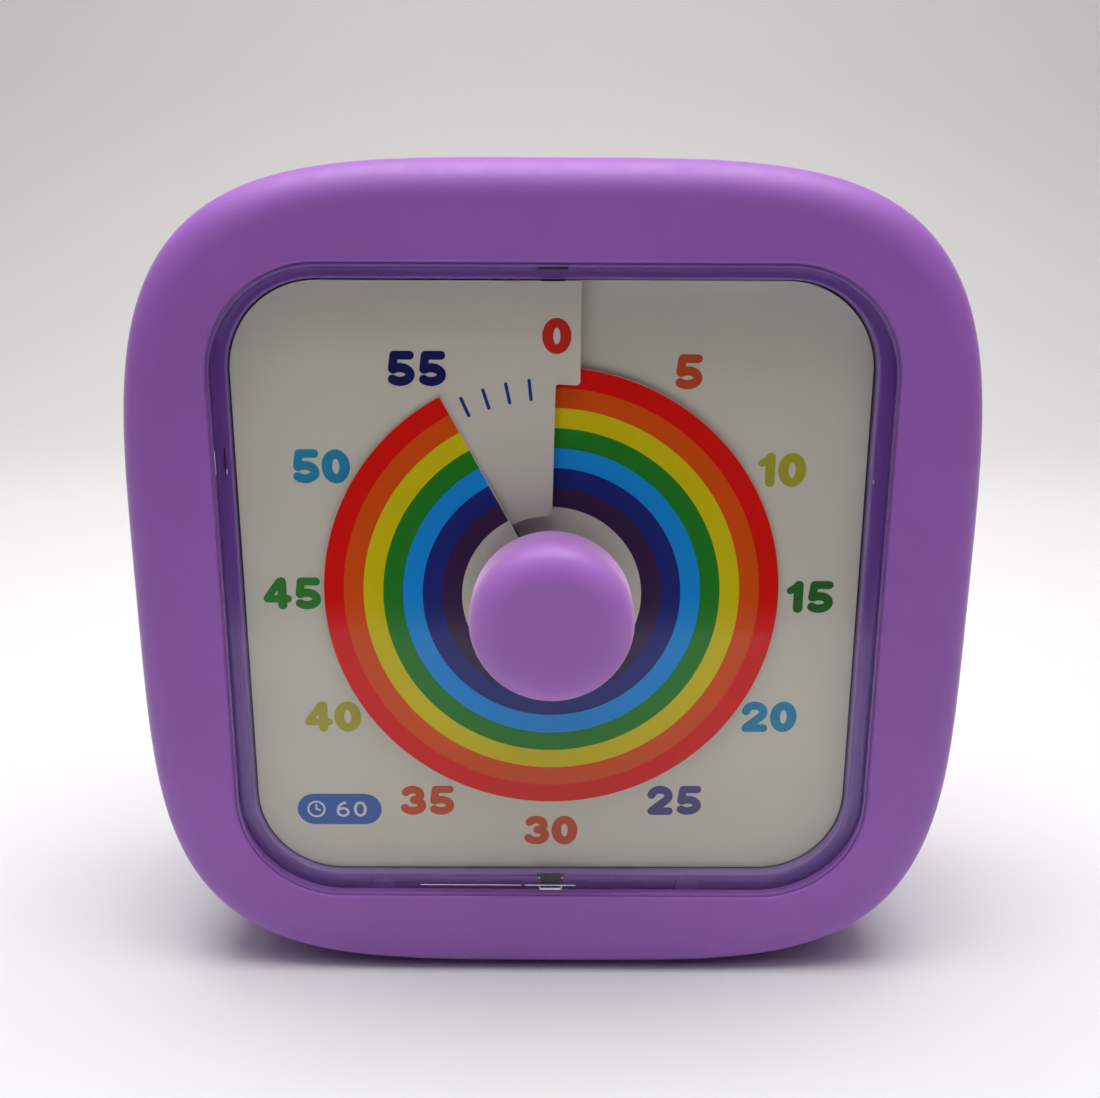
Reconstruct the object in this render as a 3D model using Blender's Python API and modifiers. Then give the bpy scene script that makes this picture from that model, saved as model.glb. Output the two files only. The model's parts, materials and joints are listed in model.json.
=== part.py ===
"""A 60-minute rainbow countdown timer: silicone cover, case, dial, disc, knob and clockwork.

It stands on z = 0 with its origin under its middle, and its dial faces -Y. Metres, +Z up.
Depths are measured from the dial's plane, positive towards the back, and a pair of depths is a
piece's front and back.
"""

import math

import bmesh
import bpy

# Driving dimensions
WIDTH = 0.092
KNOB_REACH = 0.0128
BODY_BACK = 0.0312
DISC_RADIUS = 0.025
KNOB_RADIUS = 0.00835
WINDOW_HALF = 0.0342
WINDOW_CORNER = 0.0097
OPENING_HALF = 0.0358
OPENING_CORNER = 0.0118
OUTLINE_POWER = 4.0
GAP = 0.0003

# Worked out from them
HALF = WIDTH / 2
DIAL_Y = (KNOB_REACH - BODY_BACK) / 2
DIAL_Z = HALF
COVER_FRONT = -0.0036
COVER_WALL = 0.002
COVER_FRONT_EDGE = 0.0038
COVER_BACK_EDGE = 0.006
COVER_BACK_OPENING_HALF = 0.0355
CASE_HALF = HALF - COVER_WALL - GAP
CASE_WALL = 0.002
CASE_FRONT = COVER_FRONT + COVER_WALL
CASE_FRONT_EDGE = 0.0022
CASE_SPLIT = 0.014
CASE_BACK = BODY_BACK - COVER_WALL - GAP
CASE_BACK_INSIDE = CASE_BACK - CASE_WALL
WINDOW_WALL_BACK = 0.005

# Card and disc: two helicoid sheets of one pitch, half a pitch apart
PITCH = 0.0016
SHEET = 0.0003
DISC_LEAD_DEG = 331.5
DISC_CUT = 0.004
DIAL_BORE = 0.0091
SLIT_WIDTH = 0.0006
FLAP_OVERLAP = 0.0025
FLAP_STEP_RADIUS = 0.0233
TRAY_DEPTH = (0.0053, 0.0068)

# Pieces on the dial's axis
SPINDLE_RADIUS = 0.0015
SPINDLE_BORE = SPINDLE_RADIUS + GAP
SPINDLE_BACK = 0.0174
STEM_RADIUS = 0.0029
STEM_BACK = -0.0038
HUB_RADIUS = 0.0042
HUB_DEPTH = (-0.0016, 0.0017)
BUSHING_RADIUS = 0.0026
BUSHING_FRONT = 0.0036
NUT_DEPTH = (0.0037, 0.005)
WASHER_DEPTH = (0.0105, 0.0109)
CAM_RADIUS = 0.004
CAM_DEPTH = (0.0126, 0.0136)
LEAF_DEPTH = (0.0130, 0.0132)

# Clockwork
MODULE = 0.0004
WHEEL_TEETH = 40
CENTRE_TEETH = 48
PINION_TEETH = 8
ARBOR_RADIUS = 0.0005
ARBOR_SPAN = (0.00875, 0.01745)
THIRD_BEARING = math.radians(40)
SECOND_BEARING = math.radians(130)
ROTOR_BEARING = math.radians(195)
MOVEMENT_X = (-0.020, 0.020)
MOVEMENT_Z = (0.0336, 0.0716)
MOVEMENT_DEPTH = (0.0071, 0.0191)
MOVEMENT_SPLIT = 0.013
MOVEMENT_WALL = 0.0012
MOVEMENT_FLOOR = 0.0015
MOVEMENT_SCREWS = [(-0.0168, 0.0368), (0.0168, 0.0684)]
MOVEMENT_POST_RADIUS = 0.0018
STATOR_DEPTH = (0.0152, 0.0158)
COIL_X = -0.0151
COIL_TOP = 0.058
COIL_LENGTH = 0.016
COIL_DEPTH = 0.0119

# Battery and its bay
CELL_RADIUS = 0.00725
CELL_Z = 0.024
CELL_DEPTH = 0.0196
BAY_X = 0.0275
BAY_Z = (0.0162, 0.0318)
BAY_FLOOR = 0.012
BAY_WALL = 0.0012
DOOR_THICKNESS = 0.0016

# Board, sounder and switch
BOARD_X = (-0.018, 0.0285)
BOARD_Z = (0.0525, 0.0735)
BOARD_DEPTH = (0.0206, 0.0216)
PART_FRONT = BOARD_DEPTH[1] + GAP
BUZZER_Z = 0.063
SOUND_RING = 0.005
SOUND_HOLE = 0.0009
SWITCH_X = 0.024
SWITCH_Z = 0.060
SWITCH_SLOT = (0.0018, 0.0048)
SLIDER_HALF = (0.0015, 0.0018)
SLIDER_DEPTH = (0.0265, 0.0300)

# Screws of the case
SCREW_OFFSET = 0.0316
BOSS_RADIUS = 0.0026
PILOT_RADIUS = 0.0013
HEAD_BORE = 0.0024
HEAD_SEAT = 0.0243

SEGMENTS = 56

COLOURS = {
    "lilac_silicone": ((0.41, 0.22, 0.62, 1), 0.55, 0.0),
    "lilac_plastic": ((0.47, 0.25, 0.72, 1), 0.4, 0.0),
    "purple_plastic": ((0.16, 0.09, 0.26, 1), 0.3, 0.0),
    "clear_plastic": ((0.95, 0.96, 0.98, 0.3), 0.05, 0.0),
    "white_card": ((0.72, 0.71, 0.68, 1), 0.6, 0.0),
    "printed_disc": ((0.75, 0.08, 0.03, 1), 0.5, 0.0),
    "white_plastic": ((0.75, 0.75, 0.73, 1), 0.4, 0.0),
    "gear_plastic": ((0.8, 0.74, 0.58, 1), 0.35, 0.0),
    "magnet": ((0.2, 0.2, 0.21, 1), 0.4, 1.0),
    "brass": ((0.78, 0.58, 0.25, 1), 0.3, 1.0),
    "steel": ((0.6, 0.6, 0.62, 1), 0.3, 1.0),
    "copper": ((0.72, 0.33, 0.17, 1), 0.35, 1.0),
    "green_board": ((0.02, 0.22, 0.08, 1), 0.4, 0.0),
    "black_plastic": ((0.02, 0.02, 0.02, 1), 0.45, 0.0),
    "cell_sleeve": ((0.1, 0.25, 0.13, 1), 0.35, 0.2),
}


def clear_scene():
    for obj in list(bpy.data.objects):
        bpy.data.objects.remove(obj, do_unlink=True)


def new_collection(name):
    group = bpy.data.collections.new(name)
    bpy.context.scene.collection.children.link(group)
    return group


def material(name):
    found = bpy.data.materials.get(name)
    if found:
        return found
    colour, roughness, metallic = COLOURS[name]
    made = bpy.data.materials.new(name)
    made.use_nodes = True
    shader = made.node_tree.nodes["Principled BSDF"]
    shader.inputs["Base Color"].default_value = colour
    shader.inputs["Roughness"].default_value = roughness
    shader.inputs["Metallic"].default_value = metallic
    shader.inputs["Alpha"].default_value = colour[3]
    return made


def place(name, mesh, finish, group=None):
    """Puts a mesh in the scene as a named sub-part of its own material."""
    obj = bpy.data.objects.new(name, mesh)
    (group or PARTS).objects.link(obj)
    mesh.materials.clear()
    mesh.materials.append(material(finish))
    return obj


def smooth(obj, angle=35):
    obj.data.shade_smooth()
    obj.data.set_sharp_from_angle(angle=math.radians(angle))
    return obj


def evaluated_mesh(obj):
    graph = bpy.context.evaluated_depsgraph_get()
    return bpy.data.meshes.new_from_object(obj.evaluated_get(graph))


def bake(obj):
    """Replaces an object's mesh with the shape that its modifiers give."""
    obj.data = evaluated_mesh(obj)
    obj.modifiers.clear()
    return obj


def world_point(x, z, depth):
    """A point at (x, z) in front view, at a depth behind the dial's plane."""
    return (x, DIAL_Y + depth, z)


# Outlines in front view, as a distance from the dial's centre in each direction


def squircle(half):
    def reach(angle):
        across = abs(math.cos(angle)) ** OUTLINE_POWER
        up = abs(math.sin(angle)) ** OUTLINE_POWER
        return half / (across + up) ** (1 / OUTLINE_POWER)

    return reach


def rounded(half, corner):
    def reach(angle):
        across, up = abs(math.cos(angle)), abs(math.sin(angle))
        to_side = half / max(across, up)
        if to_side * min(across, up) <= half - corner:
            return to_side
        along = (half - corner) * (across + up)
        return along + math.sqrt(along**2 - 2 * (half - corner) ** 2 + corner**2)

    return reach


def ring(reach, depth):
    turn = [2 * math.pi * i / SEGMENTS for i in range(SEGMENTS)]
    return [
        world_point(reach(a) * math.cos(a), DIAL_Z + reach(a) * math.sin(a), depth) for a in turn
    ]


def loft(name, rings, finish, capped=False):
    """Skins a row of rings. Capped, it is a solid tub; otherwise the last ring joins the first."""
    shape = bmesh.new()
    rows = [[shape.verts.new(p) for p in points] for points in rings]
    pairs = list(zip(rows, rows[1:]))
    if capped:
        shape.faces.new(rows[0])
        shape.faces.new(rows[-1])
    else:
        pairs.append((rows[-1], rows[0]))
    for near, far in pairs:
        for i in range(SEGMENTS):
            j = (i + 1) % SEGMENTS
            shape.faces.new((near[i], near[j], far[j], far[i]))
    bmesh.ops.recalc_face_normals(shape, faces=shape.faces)
    mesh = bpy.data.meshes.new(name)
    shape.to_mesh(mesh)
    shape.free()
    return place(name, mesh, finish)


def fillet(half_from, depth_from, half_to, depth_to, steps):
    """Rings round a quarter ellipse, from a face towards the viewer or the back to a side wall."""
    rings = []
    for i in range(steps + 1):
        a = math.pi / 2 * i / steps
        half = half_from + (half_to - half_from) * math.sin(a)
        depth = depth_to + (depth_from - depth_to) * math.cos(a)
        rings.append(ring(squircle(half), depth))
    return rings


def turned(name, profile, finish, x=0.0, z=DIAL_Z, segments=24, group=None):
    """A turned piece about an axis along Y. The profile is (radius, depth), from its front
    centre round its outside to its back, and a bored piece's profile is a closed loop."""
    mesh = bpy.data.meshes.new(name)
    points = [(radius, 0, -depth) for radius, depth in profile]
    edges = [(i, i + 1) for i in range(len(points) - 1)]
    if profile[0][0] > 0:
        edges.append((len(points) - 1, 0))
    mesh.from_pydata(points, edges, [])
    obj = place(name, mesh, finish, group)
    screw = obj.modifiers.new("Turn", "SCREW")
    screw.steps = screw.render_steps = segments
    screw.use_merge_vertices = True
    screw.merge_threshold = 0.00001
    obj.location = world_point(x, z, 0)
    obj.rotation_euler = (math.pi / 2, 0, 0)
    bake(obj)
    mesh = obj.data
    mesh.materials.clear()
    mesh.materials.append(material(finish))
    return smooth(obj)


def tube_profile(inner, outer, front, back):
    return [(outer, front), (outer, back), (inner, back), (inner, front)]


def rod_profile(radius, front, back):
    return [(0, front), (radius, front), (radius, back), (0, back)]


def box(name, x, z, depth, finish, bevel=0.0, group=None):
    """A block between pairs of x, z and depth, with its edges rounded."""
    bpy.ops.mesh.primitive_cube_add(size=1)
    obj = bpy.context.object
    for holder in list(obj.users_collection):
        holder.objects.unlink(obj)
    (group or PARTS).objects.link(obj)
    obj.name = name
    size = (x[1] - x[0], depth[1] - depth[0], z[1] - z[0])
    for vertex in obj.data.vertices:
        vertex.co = [c * s for c, s in zip(vertex.co, size)]
    obj.location = world_point(sum(x) / 2, sum(z) / 2, sum(depth) / 2)
    obj.data.materials.append(material(finish))
    if bevel:
        edge = obj.modifiers.new("Edge", "BEVEL")
        edge.width = bevel
        edge.segments = 2
        bake(obj)
        smooth(obj)
    return obj


def flat(name, outlines, front, back, finish, x=0.0, z=0.0, group=None):
    """A sheet cut to closed outlines in front view; an inner outline is a hole."""
    curve = bpy.data.curves.new(name, "CURVE")
    curve.dimensions = "2D"
    curve.fill_mode = "BOTH"
    curve.extrude = (back - front) / 2
    for outline in outlines:
        spline = curve.splines.new("POLY")
        spline.points.add(len(outline) - 1)
        for point, (across, up) in zip(spline.points, outline):
            point.co = (across, up, 0, 1)
        spline.use_cyclic_u = True
    guide = bpy.data.objects.new(name + "_curve", curve)
    PARTS.objects.link(guide)
    guide.location = world_point(x, z, (front + back) / 2)
    guide.rotation_euler = (math.pi / 2, 0, 0)
    bpy.context.view_layer.update()
    mesh = evaluated_mesh(guide)
    shape = bmesh.new()
    shape.from_mesh(mesh)
    bmesh.ops.remove_doubles(shape, verts=shape.verts, dist=0.000001)
    bmesh.ops.recalc_face_normals(shape, faces=shape.faces)
    shape.to_mesh(mesh)
    shape.free()
    obj = place(name, mesh, finish, group)
    obj.matrix_world = guide.matrix_world
    bpy.data.objects.remove(guide)
    return obj


def circle(radius, points=24, x=0.0, z=0.0):
    turn = [2 * math.pi * i / points for i in range(points)]
    return [(x + radius * math.cos(a), z + radius * math.sin(a)) for a in turn]


def combine(obj, other, operation):
    """Joins or cuts an object with a helper, which stays behind as a hidden wire shape."""
    step = obj.modifiers.new(operation.title(), "BOOLEAN")
    step.operation = operation
    step.solver = "EXACT"
    step.object = other
    other.display_type = "WIRE"
    other.hide_render = True
    bpy.context.view_layer.update()
    bake(obj)
    return obj


def cut_hole(obj, x, z, radius, front, back, segments=16):
    name = f"{obj.name}_hole_{len(CUTTERS.objects)}"
    cutter = turned(name, rod_profile(radius, front, back), "steel", x, z, segments, CUTTERS)
    return combine(obj, cutter, "DIFFERENCE")


def cut_block(obj, x, z, depth):
    cutter = box(f"{obj.name}_block_{len(CUTTERS.objects)}", x, z, depth, "steel", group=CUTTERS)
    return combine(obj, cutter, "DIFFERENCE")


def add_post(obj, x, z, radius, front, back):
    name = f"{obj.name}_post_{len(CUTTERS.objects)}"
    post = turned(name, rod_profile(radius, front, back), "steel", x, z, 16, CUTTERS)
    return combine(obj, post, "UNION")


def screw_places():
    return [(sx * SCREW_OFFSET, DIAL_Z + sz * SCREW_OFFSET) for sz in (1, -1) for sx in (-1, 1)]


# Casing


def silicone_cover():
    """One soft shell: front lip round the window, side wall, and a lip that grips the back."""
    inner = HALF - COVER_WALL
    inside_front, inside_back = CASE_FRONT - GAP, BODY_BACK - COVER_WALL
    chamfer = 0.0004
    rings = [
        ring(rounded(OPENING_HALF, OPENING_CORNER), COVER_FRONT + chamfer),
        ring(rounded(OPENING_HALF + chamfer, OPENING_CORNER), COVER_FRONT),
    ]
    rings += fillet(HALF - COVER_FRONT_EDGE, COVER_FRONT, HALF, COVER_FRONT + COVER_FRONT_EDGE, 3)
    rings += fillet(HALF - COVER_BACK_EDGE, BODY_BACK, HALF, BODY_BACK - COVER_BACK_EDGE, 3)[::-1]
    rings += [
        ring(squircle(COVER_BACK_OPENING_HALF), BODY_BACK),
        ring(squircle(COVER_BACK_OPENING_HALF), inside_back),
        ring(squircle(inner - 0.0035), inside_back),
        ring(squircle(inner - 0.0012), inside_back - 0.0012),
        ring(squircle(inner), inside_back - 0.0035),
        ring(squircle(inner), inside_front + CASE_FRONT_EDGE),
        ring(squircle(inner - CASE_FRONT_EDGE), inside_front),
        ring(rounded(OPENING_HALF, OPENING_CORNER), inside_front),
    ]
    return smooth(loft("silicone_cover", rings, "lilac_silicone"), 50)


def front_case():
    """Channel-shaped front shell: front flange, outer side wall, and the window's inner wall."""
    wall = CASE_HALF - CASE_WALL
    web = 0.0016
    flange_back = CASE_FRONT + 0.0018
    rings = [
        ring(rounded(WINDOW_HALF, WINDOW_CORNER), CASE_FRONT),
        ring(squircle(CASE_HALF - CASE_FRONT_EDGE), CASE_FRONT),
        ring(squircle(CASE_HALF), CASE_FRONT + CASE_FRONT_EDGE),
        ring(squircle(CASE_HALF), CASE_SPLIT - GAP / 2),
        ring(squircle(wall), CASE_SPLIT - GAP / 2),
        ring(squircle(wall), flange_back + 0.001),
        ring(squircle(wall - 0.001), flange_back),
        ring(rounded(WINDOW_HALF + web, WINDOW_CORNER + web), flange_back),
        ring(rounded(WINDOW_HALF + web, WINDOW_CORNER + web), WINDOW_WALL_BACK),
        ring(rounded(WINDOW_HALF, WINDOW_CORNER), WINDOW_WALL_BACK),
    ]
    case = loft("front_case", rings, "purple_plastic")
    for x, z in screw_places():
        add_post(case, x, z, BOSS_RADIUS, 0.004, CASE_SPLIT - 0.0005)
        cut_hole(case, x, z, PILOT_RADIUS, 0.007, CASE_SPLIT, 12)
    return smooth(case)


def rear_case():
    """Rear tub with the battery bay, screw posts, sound holes and the switch's slot."""
    edge = CASE_SPLIT + GAP / 2
    wall = CASE_HALF - CASE_WALL
    inner_edge = 0.0022
    rings = [
        ring(squircle(wall - inner_edge), CASE_BACK_INSIDE),
        ring(squircle(wall), CASE_BACK_INSIDE - inner_edge),
        ring(squircle(wall), edge),
        ring(squircle(CASE_HALF), edge),
        ring(squircle(CASE_HALF), CASE_BACK - 0.0035),
        ring(squircle(CASE_HALF - 0.0012), CASE_BACK - 0.0012),
        ring(squircle(CASE_HALF - 0.0035), CASE_BACK),
    ]
    case = loft("rear_case", rings, "white_plastic", capped=True)
    outer_x = (-BAY_X - BAY_WALL, BAY_X + BAY_WALL)
    outer_z = (BAY_Z[0] - BAY_WALL, BAY_Z[1] + BAY_WALL)
    bay_depth = (BAY_FLOOR - BAY_WALL, CASE_BACK_INSIDE + 0.001)
    bay = box("rear_case_bay", outer_x, outer_z, bay_depth, "steel", group=CUTTERS)
    combine(case, bay, "UNION")
    for x, z in screw_places():
        add_post(case, x, z, BOSS_RADIUS, CASE_SPLIT - 0.0002, CASE_BACK_INSIDE + 0.001)
        cut_hole(case, x, z, PILOT_RADIUS, CASE_SPLIT - 0.001, 0.026, 10)
        cut_hole(case, x, z, HEAD_BORE, HEAD_SEAT, 0.030, 12)
    cut_block(case, (-BAY_X, BAY_X), BAY_Z, (BAY_FLOOR, BODY_BACK))
    through_back = (0.026, BODY_BACK)
    slot_x = (SWITCH_X - SWITCH_SLOT[0], SWITCH_X + SWITCH_SLOT[0])
    slot_z = (SWITCH_Z - SWITCH_SLOT[1], SWITCH_Z + SWITCH_SLOT[1])
    cut_block(case, slot_x, slot_z, through_back)
    for x, z in circle(SOUND_RING, 6, 0, BUZZER_Z) + [(0, BUZZER_Z)]:
        cut_hole(case, x, z, SOUND_HOLE, *through_back, 8)
    cut_hole(case, 0, BAY_Z[1] + 0.001, 0.006, CASE_BACK - 0.0009, BODY_BACK, 24)
    return smooth(case)


def battery_door():
    """Flush lid over the bay, hooked at its bottom edge, with a latch tongue at its top."""
    play = 0.0004
    plate_x = (-BAY_X + play, BAY_X - play)
    plate_z = (BAY_Z[0] + 0.0005, BAY_Z[1] - play)
    depth = (CASE_BACK - DOOR_THICKNESS, CASE_BACK)
    door = box("battery_door", plate_x, plate_z, depth, "white_plastic", 0.0003)
    rib_z = (plate_z[1] - 0.0022, plate_z[1] - 0.001)
    rib_depth = (depth[0] - 0.0012, depth[0] + 0.0005)
    rib = box("battery_door_rib", (-0.012, 0.012), rib_z, rib_depth, "steel", group=CUTTERS)
    combine(door, rib, "UNION")
    half_groove, groove_depth = 0.0003, 0.0004
    for i in range(3):
        z = rib_z[0] - 0.0012 * i
        groove_z = (z - half_groove, z + half_groove)
        cut_block(door, (-0.005, 0.005), groove_z, (CASE_BACK - groove_depth, BODY_BACK))
    return smooth(door)


def clear_lens():
    """Flat clear pane inside the cover's opening, bored for the knob's stem."""
    play, chamfer, bore = 0.0004, 0.0003, 0.0034
    half, corner = OPENING_HALF - play, OPENING_CORNER - play
    front, back = COVER_FRONT + 0.0002, CASE_FRONT - GAP
    rings = [
        ring(rounded(half - chamfer, corner), front),
        ring(rounded(half, corner), front + chamfer),
        ring(rounded(half, corner), back),
    ]
    lens = loft("clear_lens", rings, "clear_plastic", capped=True)
    cut_hole(lens, 0, DIAL_Z, bore, front - 0.001, 0, 24)
    return smooth(lens)


# Dial and disc


def helicoid(name, angles_of, radii, offset, finish):
    """A sheet that climbs one pitch towards the viewer in one clockwise turn from 12 o'clock.
    angles_of(radius) gives a row's first and last angle; a radius may follow an outline."""
    steps = 48
    shape = bmesh.new()
    rows = []
    for radius in radii:
        first, last = angles_of(radius(0) if callable(radius) else radius)
        row = []
        for i in range(steps + 1):
            a = first + (last - first) * i / steps
            r = radius(math.pi / 2 - a) if callable(radius) else radius
            depth = offset - PITCH * a / (2 * math.pi)
            row.append(shape.verts.new(world_point(r * math.sin(a), DIAL_Z + r * math.cos(a), depth)))
        rows.append(row)
    for near, far in zip(rows, rows[1:]):
        for i in range(steps):
            shape.faces.new((near[i], near[i + 1], far[i + 1], far[i]))
    mesh = bpy.data.meshes.new(name)
    shape.to_mesh(mesh)
    shape.free()
    obj = place(name, mesh, finish)
    sheet = obj.modifiers.new("Thickness", "SOLIDIFY")
    sheet.thickness = SHEET
    sheet.offset = 0
    bake(obj)
    return smooth(obj)


def dial_plate():
    """Square card with a slit at 12 o'clock. The flap left of the slit lies over the disc."""

    def angles_of(radius):
        first = math.asin(SLIT_WIDTH / radius)
        if radius > FLAP_STEP_RADIUS:
            return first, 2 * math.pi + math.asin(FLAP_OVERLAP / radius)
        return first, 2 * math.pi

    middle, step = (DIAL_BORE + FLAP_STEP_RADIUS) / 2, 0.0001
    radii = [DIAL_BORE, middle, FLAP_STEP_RADIUS - step, FLAP_STEP_RADIUS + step]
    radii.append(rounded(WINDOW_HALF - GAP, WINDOW_CORNER - GAP))
    return helicoid("dial_plate", angles_of, radii, PITCH / 2, "white_card")


def rainbow_disc():
    """Round sheet cut once from rim to hub, its leading edge set where the countdown stands."""
    last = math.radians(DISC_LEAD_DEG)
    radii = [HUB_RADIUS + GAP, DISC_RADIUS]
    first = last - 2 * math.pi + DISC_CUT
    return helicoid("rainbow_disc", lambda radius: (first, last), radii, 0.0, "printed_disc")


def dial_tray():
    """Flat plate behind the disc, with corners rounded enough to clear the screw posts."""
    reach = rounded(0.035, 0.020)
    turn = [2 * math.pi * i / SEGMENTS for i in range(SEGMENTS)]
    outline = [(reach(a) * math.cos(a), reach(a) * math.sin(a)) for a in turn]
    return flat("dial_tray", [outline, circle(0.003)], *TRAY_DEPTH, "white_plastic", z=DIAL_Z)


def disc_hub():
    profile = tube_profile(SPINDLE_BORE, HUB_RADIUS, *HUB_DEPTH)
    return turned("disc_hub", profile, "white_plastic")


# Knob, spindle and what turns with them


def knob():
    """Hollow knob with a soft front edge, a shallow dish, and a stem bored for the spindle."""
    front, rear, edge = -KNOB_REACH, -0.0051, 0.0023
    face, top_wall, bore_end = KNOB_RADIUS - edge, front + 0.0018, front + 0.0028
    profile = [(0, front + 0.0003), (face - 0.0012, front + 0.0001)]
    for i in range(6):
        a = math.pi / 2 * i / 5
        profile.append((face + edge * math.sin(a), front + edge - edge * math.cos(a)))
    profile += [
        (KNOB_RADIUS - 0.0002, rear + 0.0002),
        (KNOB_RADIUS - 0.0004, rear),
        (KNOB_RADIUS - 0.0018, rear),
        (KNOB_RADIUS - 0.0020, top_wall + 0.0008),
        (KNOB_RADIUS - 0.0030, top_wall),
        (STEM_RADIUS, top_wall),
        (STEM_RADIUS, STEM_BACK),
        (SPINDLE_BORE, STEM_BACK),
        (SPINDLE_BORE, bore_end),
        (0, bore_end),
    ]
    return turned("knob", profile, "lilac_plastic", segments=36)


def spindle():
    front, chamfer = -KNOB_REACH + 0.0031, 0.0003
    profile = [
        (0, front),
        (SPINDLE_RADIUS - chamfer, front),
        (SPINDLE_RADIUS, front + chamfer),
        (SPINDLE_RADIUS, SPINDLE_BACK),
        (0, SPINDLE_BACK),
    ]
    return turned("spindle", profile, "steel", segments=24)


def clutch_washer():
    return turned("clutch_washer", tube_profile(SPINDLE_BORE, 0.004, *WASHER_DEPTH), "steel")


def alarm_cam():
    """Round cam with a shallow notch that lets the alarm leaf drop at zero."""
    outline = circle(CAM_RADIUS, 32)
    notch, floor = slice(3, 6), 0.76
    outline[notch] = [(floor * x, floor * z) for x, z in outline[notch]]
    bore = circle(SPINDLE_BORE, 16)
    return flat("alarm_cam", [outline, bore], *CAM_DEPTH, "white_plastic", z=DIAL_Z)


# Clockwork


def gear_outline(teeth, phase):
    """Trapezoid teeth, thinner than half the pitch, so that they turn in mesh with play."""
    pitch_radius = MODULE * teeth / 2
    root, tip = pitch_radius - 1.15 * MODULE, pitch_radius + 0.8 * MODULE
    step = 2 * math.pi / teeth
    root_share, tip_share = 0.27, 0.11
    corners = [(root, -root_share), (tip, -tip_share), (tip, tip_share), (root, root_share)]
    outline = []
    for tooth in range(teeth):
        for radius, share in corners:
            a = phase + step * (tooth + share)
            outline.append((radius * math.cos(a), radius * math.sin(a)))
    return outline


def meshing_phase(driver_teeth, driver_phase, bearing, teeth):
    """The phase that puts a gap of the new gear on the driver's tooth, along their centre line."""
    in_pitch = driver_teeth * (bearing - driver_phase) / (2 * math.pi)
    return bearing + math.pi - 2 * math.pi * (0.5 - in_pitch) / teeth


def step_from(place_from, bearing, teeth_a, teeth_b):
    distance = MODULE * (teeth_a + teeth_b) / 2
    return (
        place_from[0] + distance * math.cos(bearing),
        place_from[1] + distance * math.sin(bearing),
    )


CENTRE = (0.0, DIAL_Z)
THIRD = step_from(CENTRE, THIRD_BEARING, CENTRE_TEETH, PINION_TEETH)
SECOND = step_from(THIRD, SECOND_BEARING, WHEEL_TEETH, PINION_TEETH)
ROTOR = step_from(SECOND, ROTOR_BEARING, WHEEL_TEETH, PINION_TEETH)


def toothed(name, where, teeth, phase, front, back, finish, bore=None, group=None):
    outlines = [gear_outline(teeth, phase)]
    if bore:
        outlines.append(circle(bore, 16))
    return flat(name, outlines, front, back, finish, where[0], where[1], group)


def wheel_with_pinion(name, where, wheel, pinion):
    """A wheel, its pinion and its arbor as one solid. wheel and pinion are (phase, front, back)."""
    gear = toothed(name, where, WHEEL_TEETH, *wheel, "gear_plastic")
    leaves = toothed(name + "_leaves", where, PINION_TEETH, *pinion, "steel", group=CUTTERS)
    combine(gear, leaves, "UNION")
    return add_post(gear, *where, ARBOR_RADIUS, *ARBOR_SPAN)


def clockwork_train():
    """Centre wheel, third wheel, second wheel and rotor, each stage behind the one before."""
    toothed("centre_wheel", CENTRE, CENTRE_TEETH, 0.0, 0.0092, 0.0102, "gear_plastic", SPINDLE_BORE)
    third_leaves = meshing_phase(CENTRE_TEETH, 0.0, THIRD_BEARING, PINION_TEETH)
    wheel_with_pinion(
        "third_wheel", THIRD, (0.0, 0.0114, 0.0122), (third_leaves, 0.0090, 0.0115)
    )
    second_leaves = meshing_phase(WHEEL_TEETH, 0.0, SECOND_BEARING, PINION_TEETH)
    wheel_with_pinion(
        "second_wheel", SECOND, (0.0, 0.0134, 0.0142), (second_leaves, 0.0112, 0.0135)
    )
    rotor_leaves = meshing_phase(WHEEL_TEETH, 0.0, ROTOR_BEARING, PINION_TEETH)
    rotor = toothed("rotor", ROTOR, PINION_TEETH, rotor_leaves, 0.0132, 0.0150, "magnet")
    add_post(rotor, *ROTOR, 0.003, 0.0149, 0.0165)
    add_post(rotor, *ROTOR, ARBOR_RADIUS, *ARBOR_SPAN)


def stator():
    """Bent plate with a round hole for the rotor's magnet and a leg down beside the coil."""
    left, right, low, high = -0.0176, -0.0019, 0.041, 0.0634
    leg_right, shoulder = left + 0.005, 0.0526
    outline = [
        (left, low),
        (leg_right, low),
        (leg_right, shoulder),
        (right, shoulder),
        (right, high),
        (left, high),
    ]
    hole = circle(0.0036, 24, *ROTOR)
    return flat("stator", [outline, hole], *STATOR_DEPTH, "steel")


def coil():
    """Copper winding between two cheeks, on an upright core beside the train."""
    cheek, winding, cheek_width = 0.0029, 0.0025, 0.0008
    profile = [
        (0, 0),
        (cheek, 0),
        (cheek, cheek_width),
        (winding, cheek_width),
        (winding, COIL_LENGTH - cheek_width),
        (cheek, COIL_LENGTH - cheek_width),
        (cheek, COIL_LENGTH),
        (0, COIL_LENGTH),
    ]
    obj = turned("coil", profile, "copper", segments=20)
    obj.rotation_euler = (0, 0, 0)
    obj.location = world_point(COIL_X, COIL_TOP, COIL_DEPTH)
    return obj


def movement_half(name, front, back, inside, post, pilot):
    """One half of the clockwork's box, hollowed out, with a post for each of its two screws.
    inside, post and pilot are pairs of depths."""
    half = box(name, MOVEMENT_X, MOVEMENT_Z, (front, back), "white_plastic", 0.0004)
    inner_x = (MOVEMENT_X[0] + MOVEMENT_WALL, MOVEMENT_X[1] - MOVEMENT_WALL)
    inner_z = (MOVEMENT_Z[0] + MOVEMENT_WALL, MOVEMENT_Z[1] - MOVEMENT_WALL)
    cut_block(half, inner_x, inner_z, inside)
    for x, z in MOVEMENT_SCREWS:
        add_post(half, x, z, MOVEMENT_POST_RADIUS, *post)
        cut_hole(half, x, z, 0.001, *pilot, 10)
    return half


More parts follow.
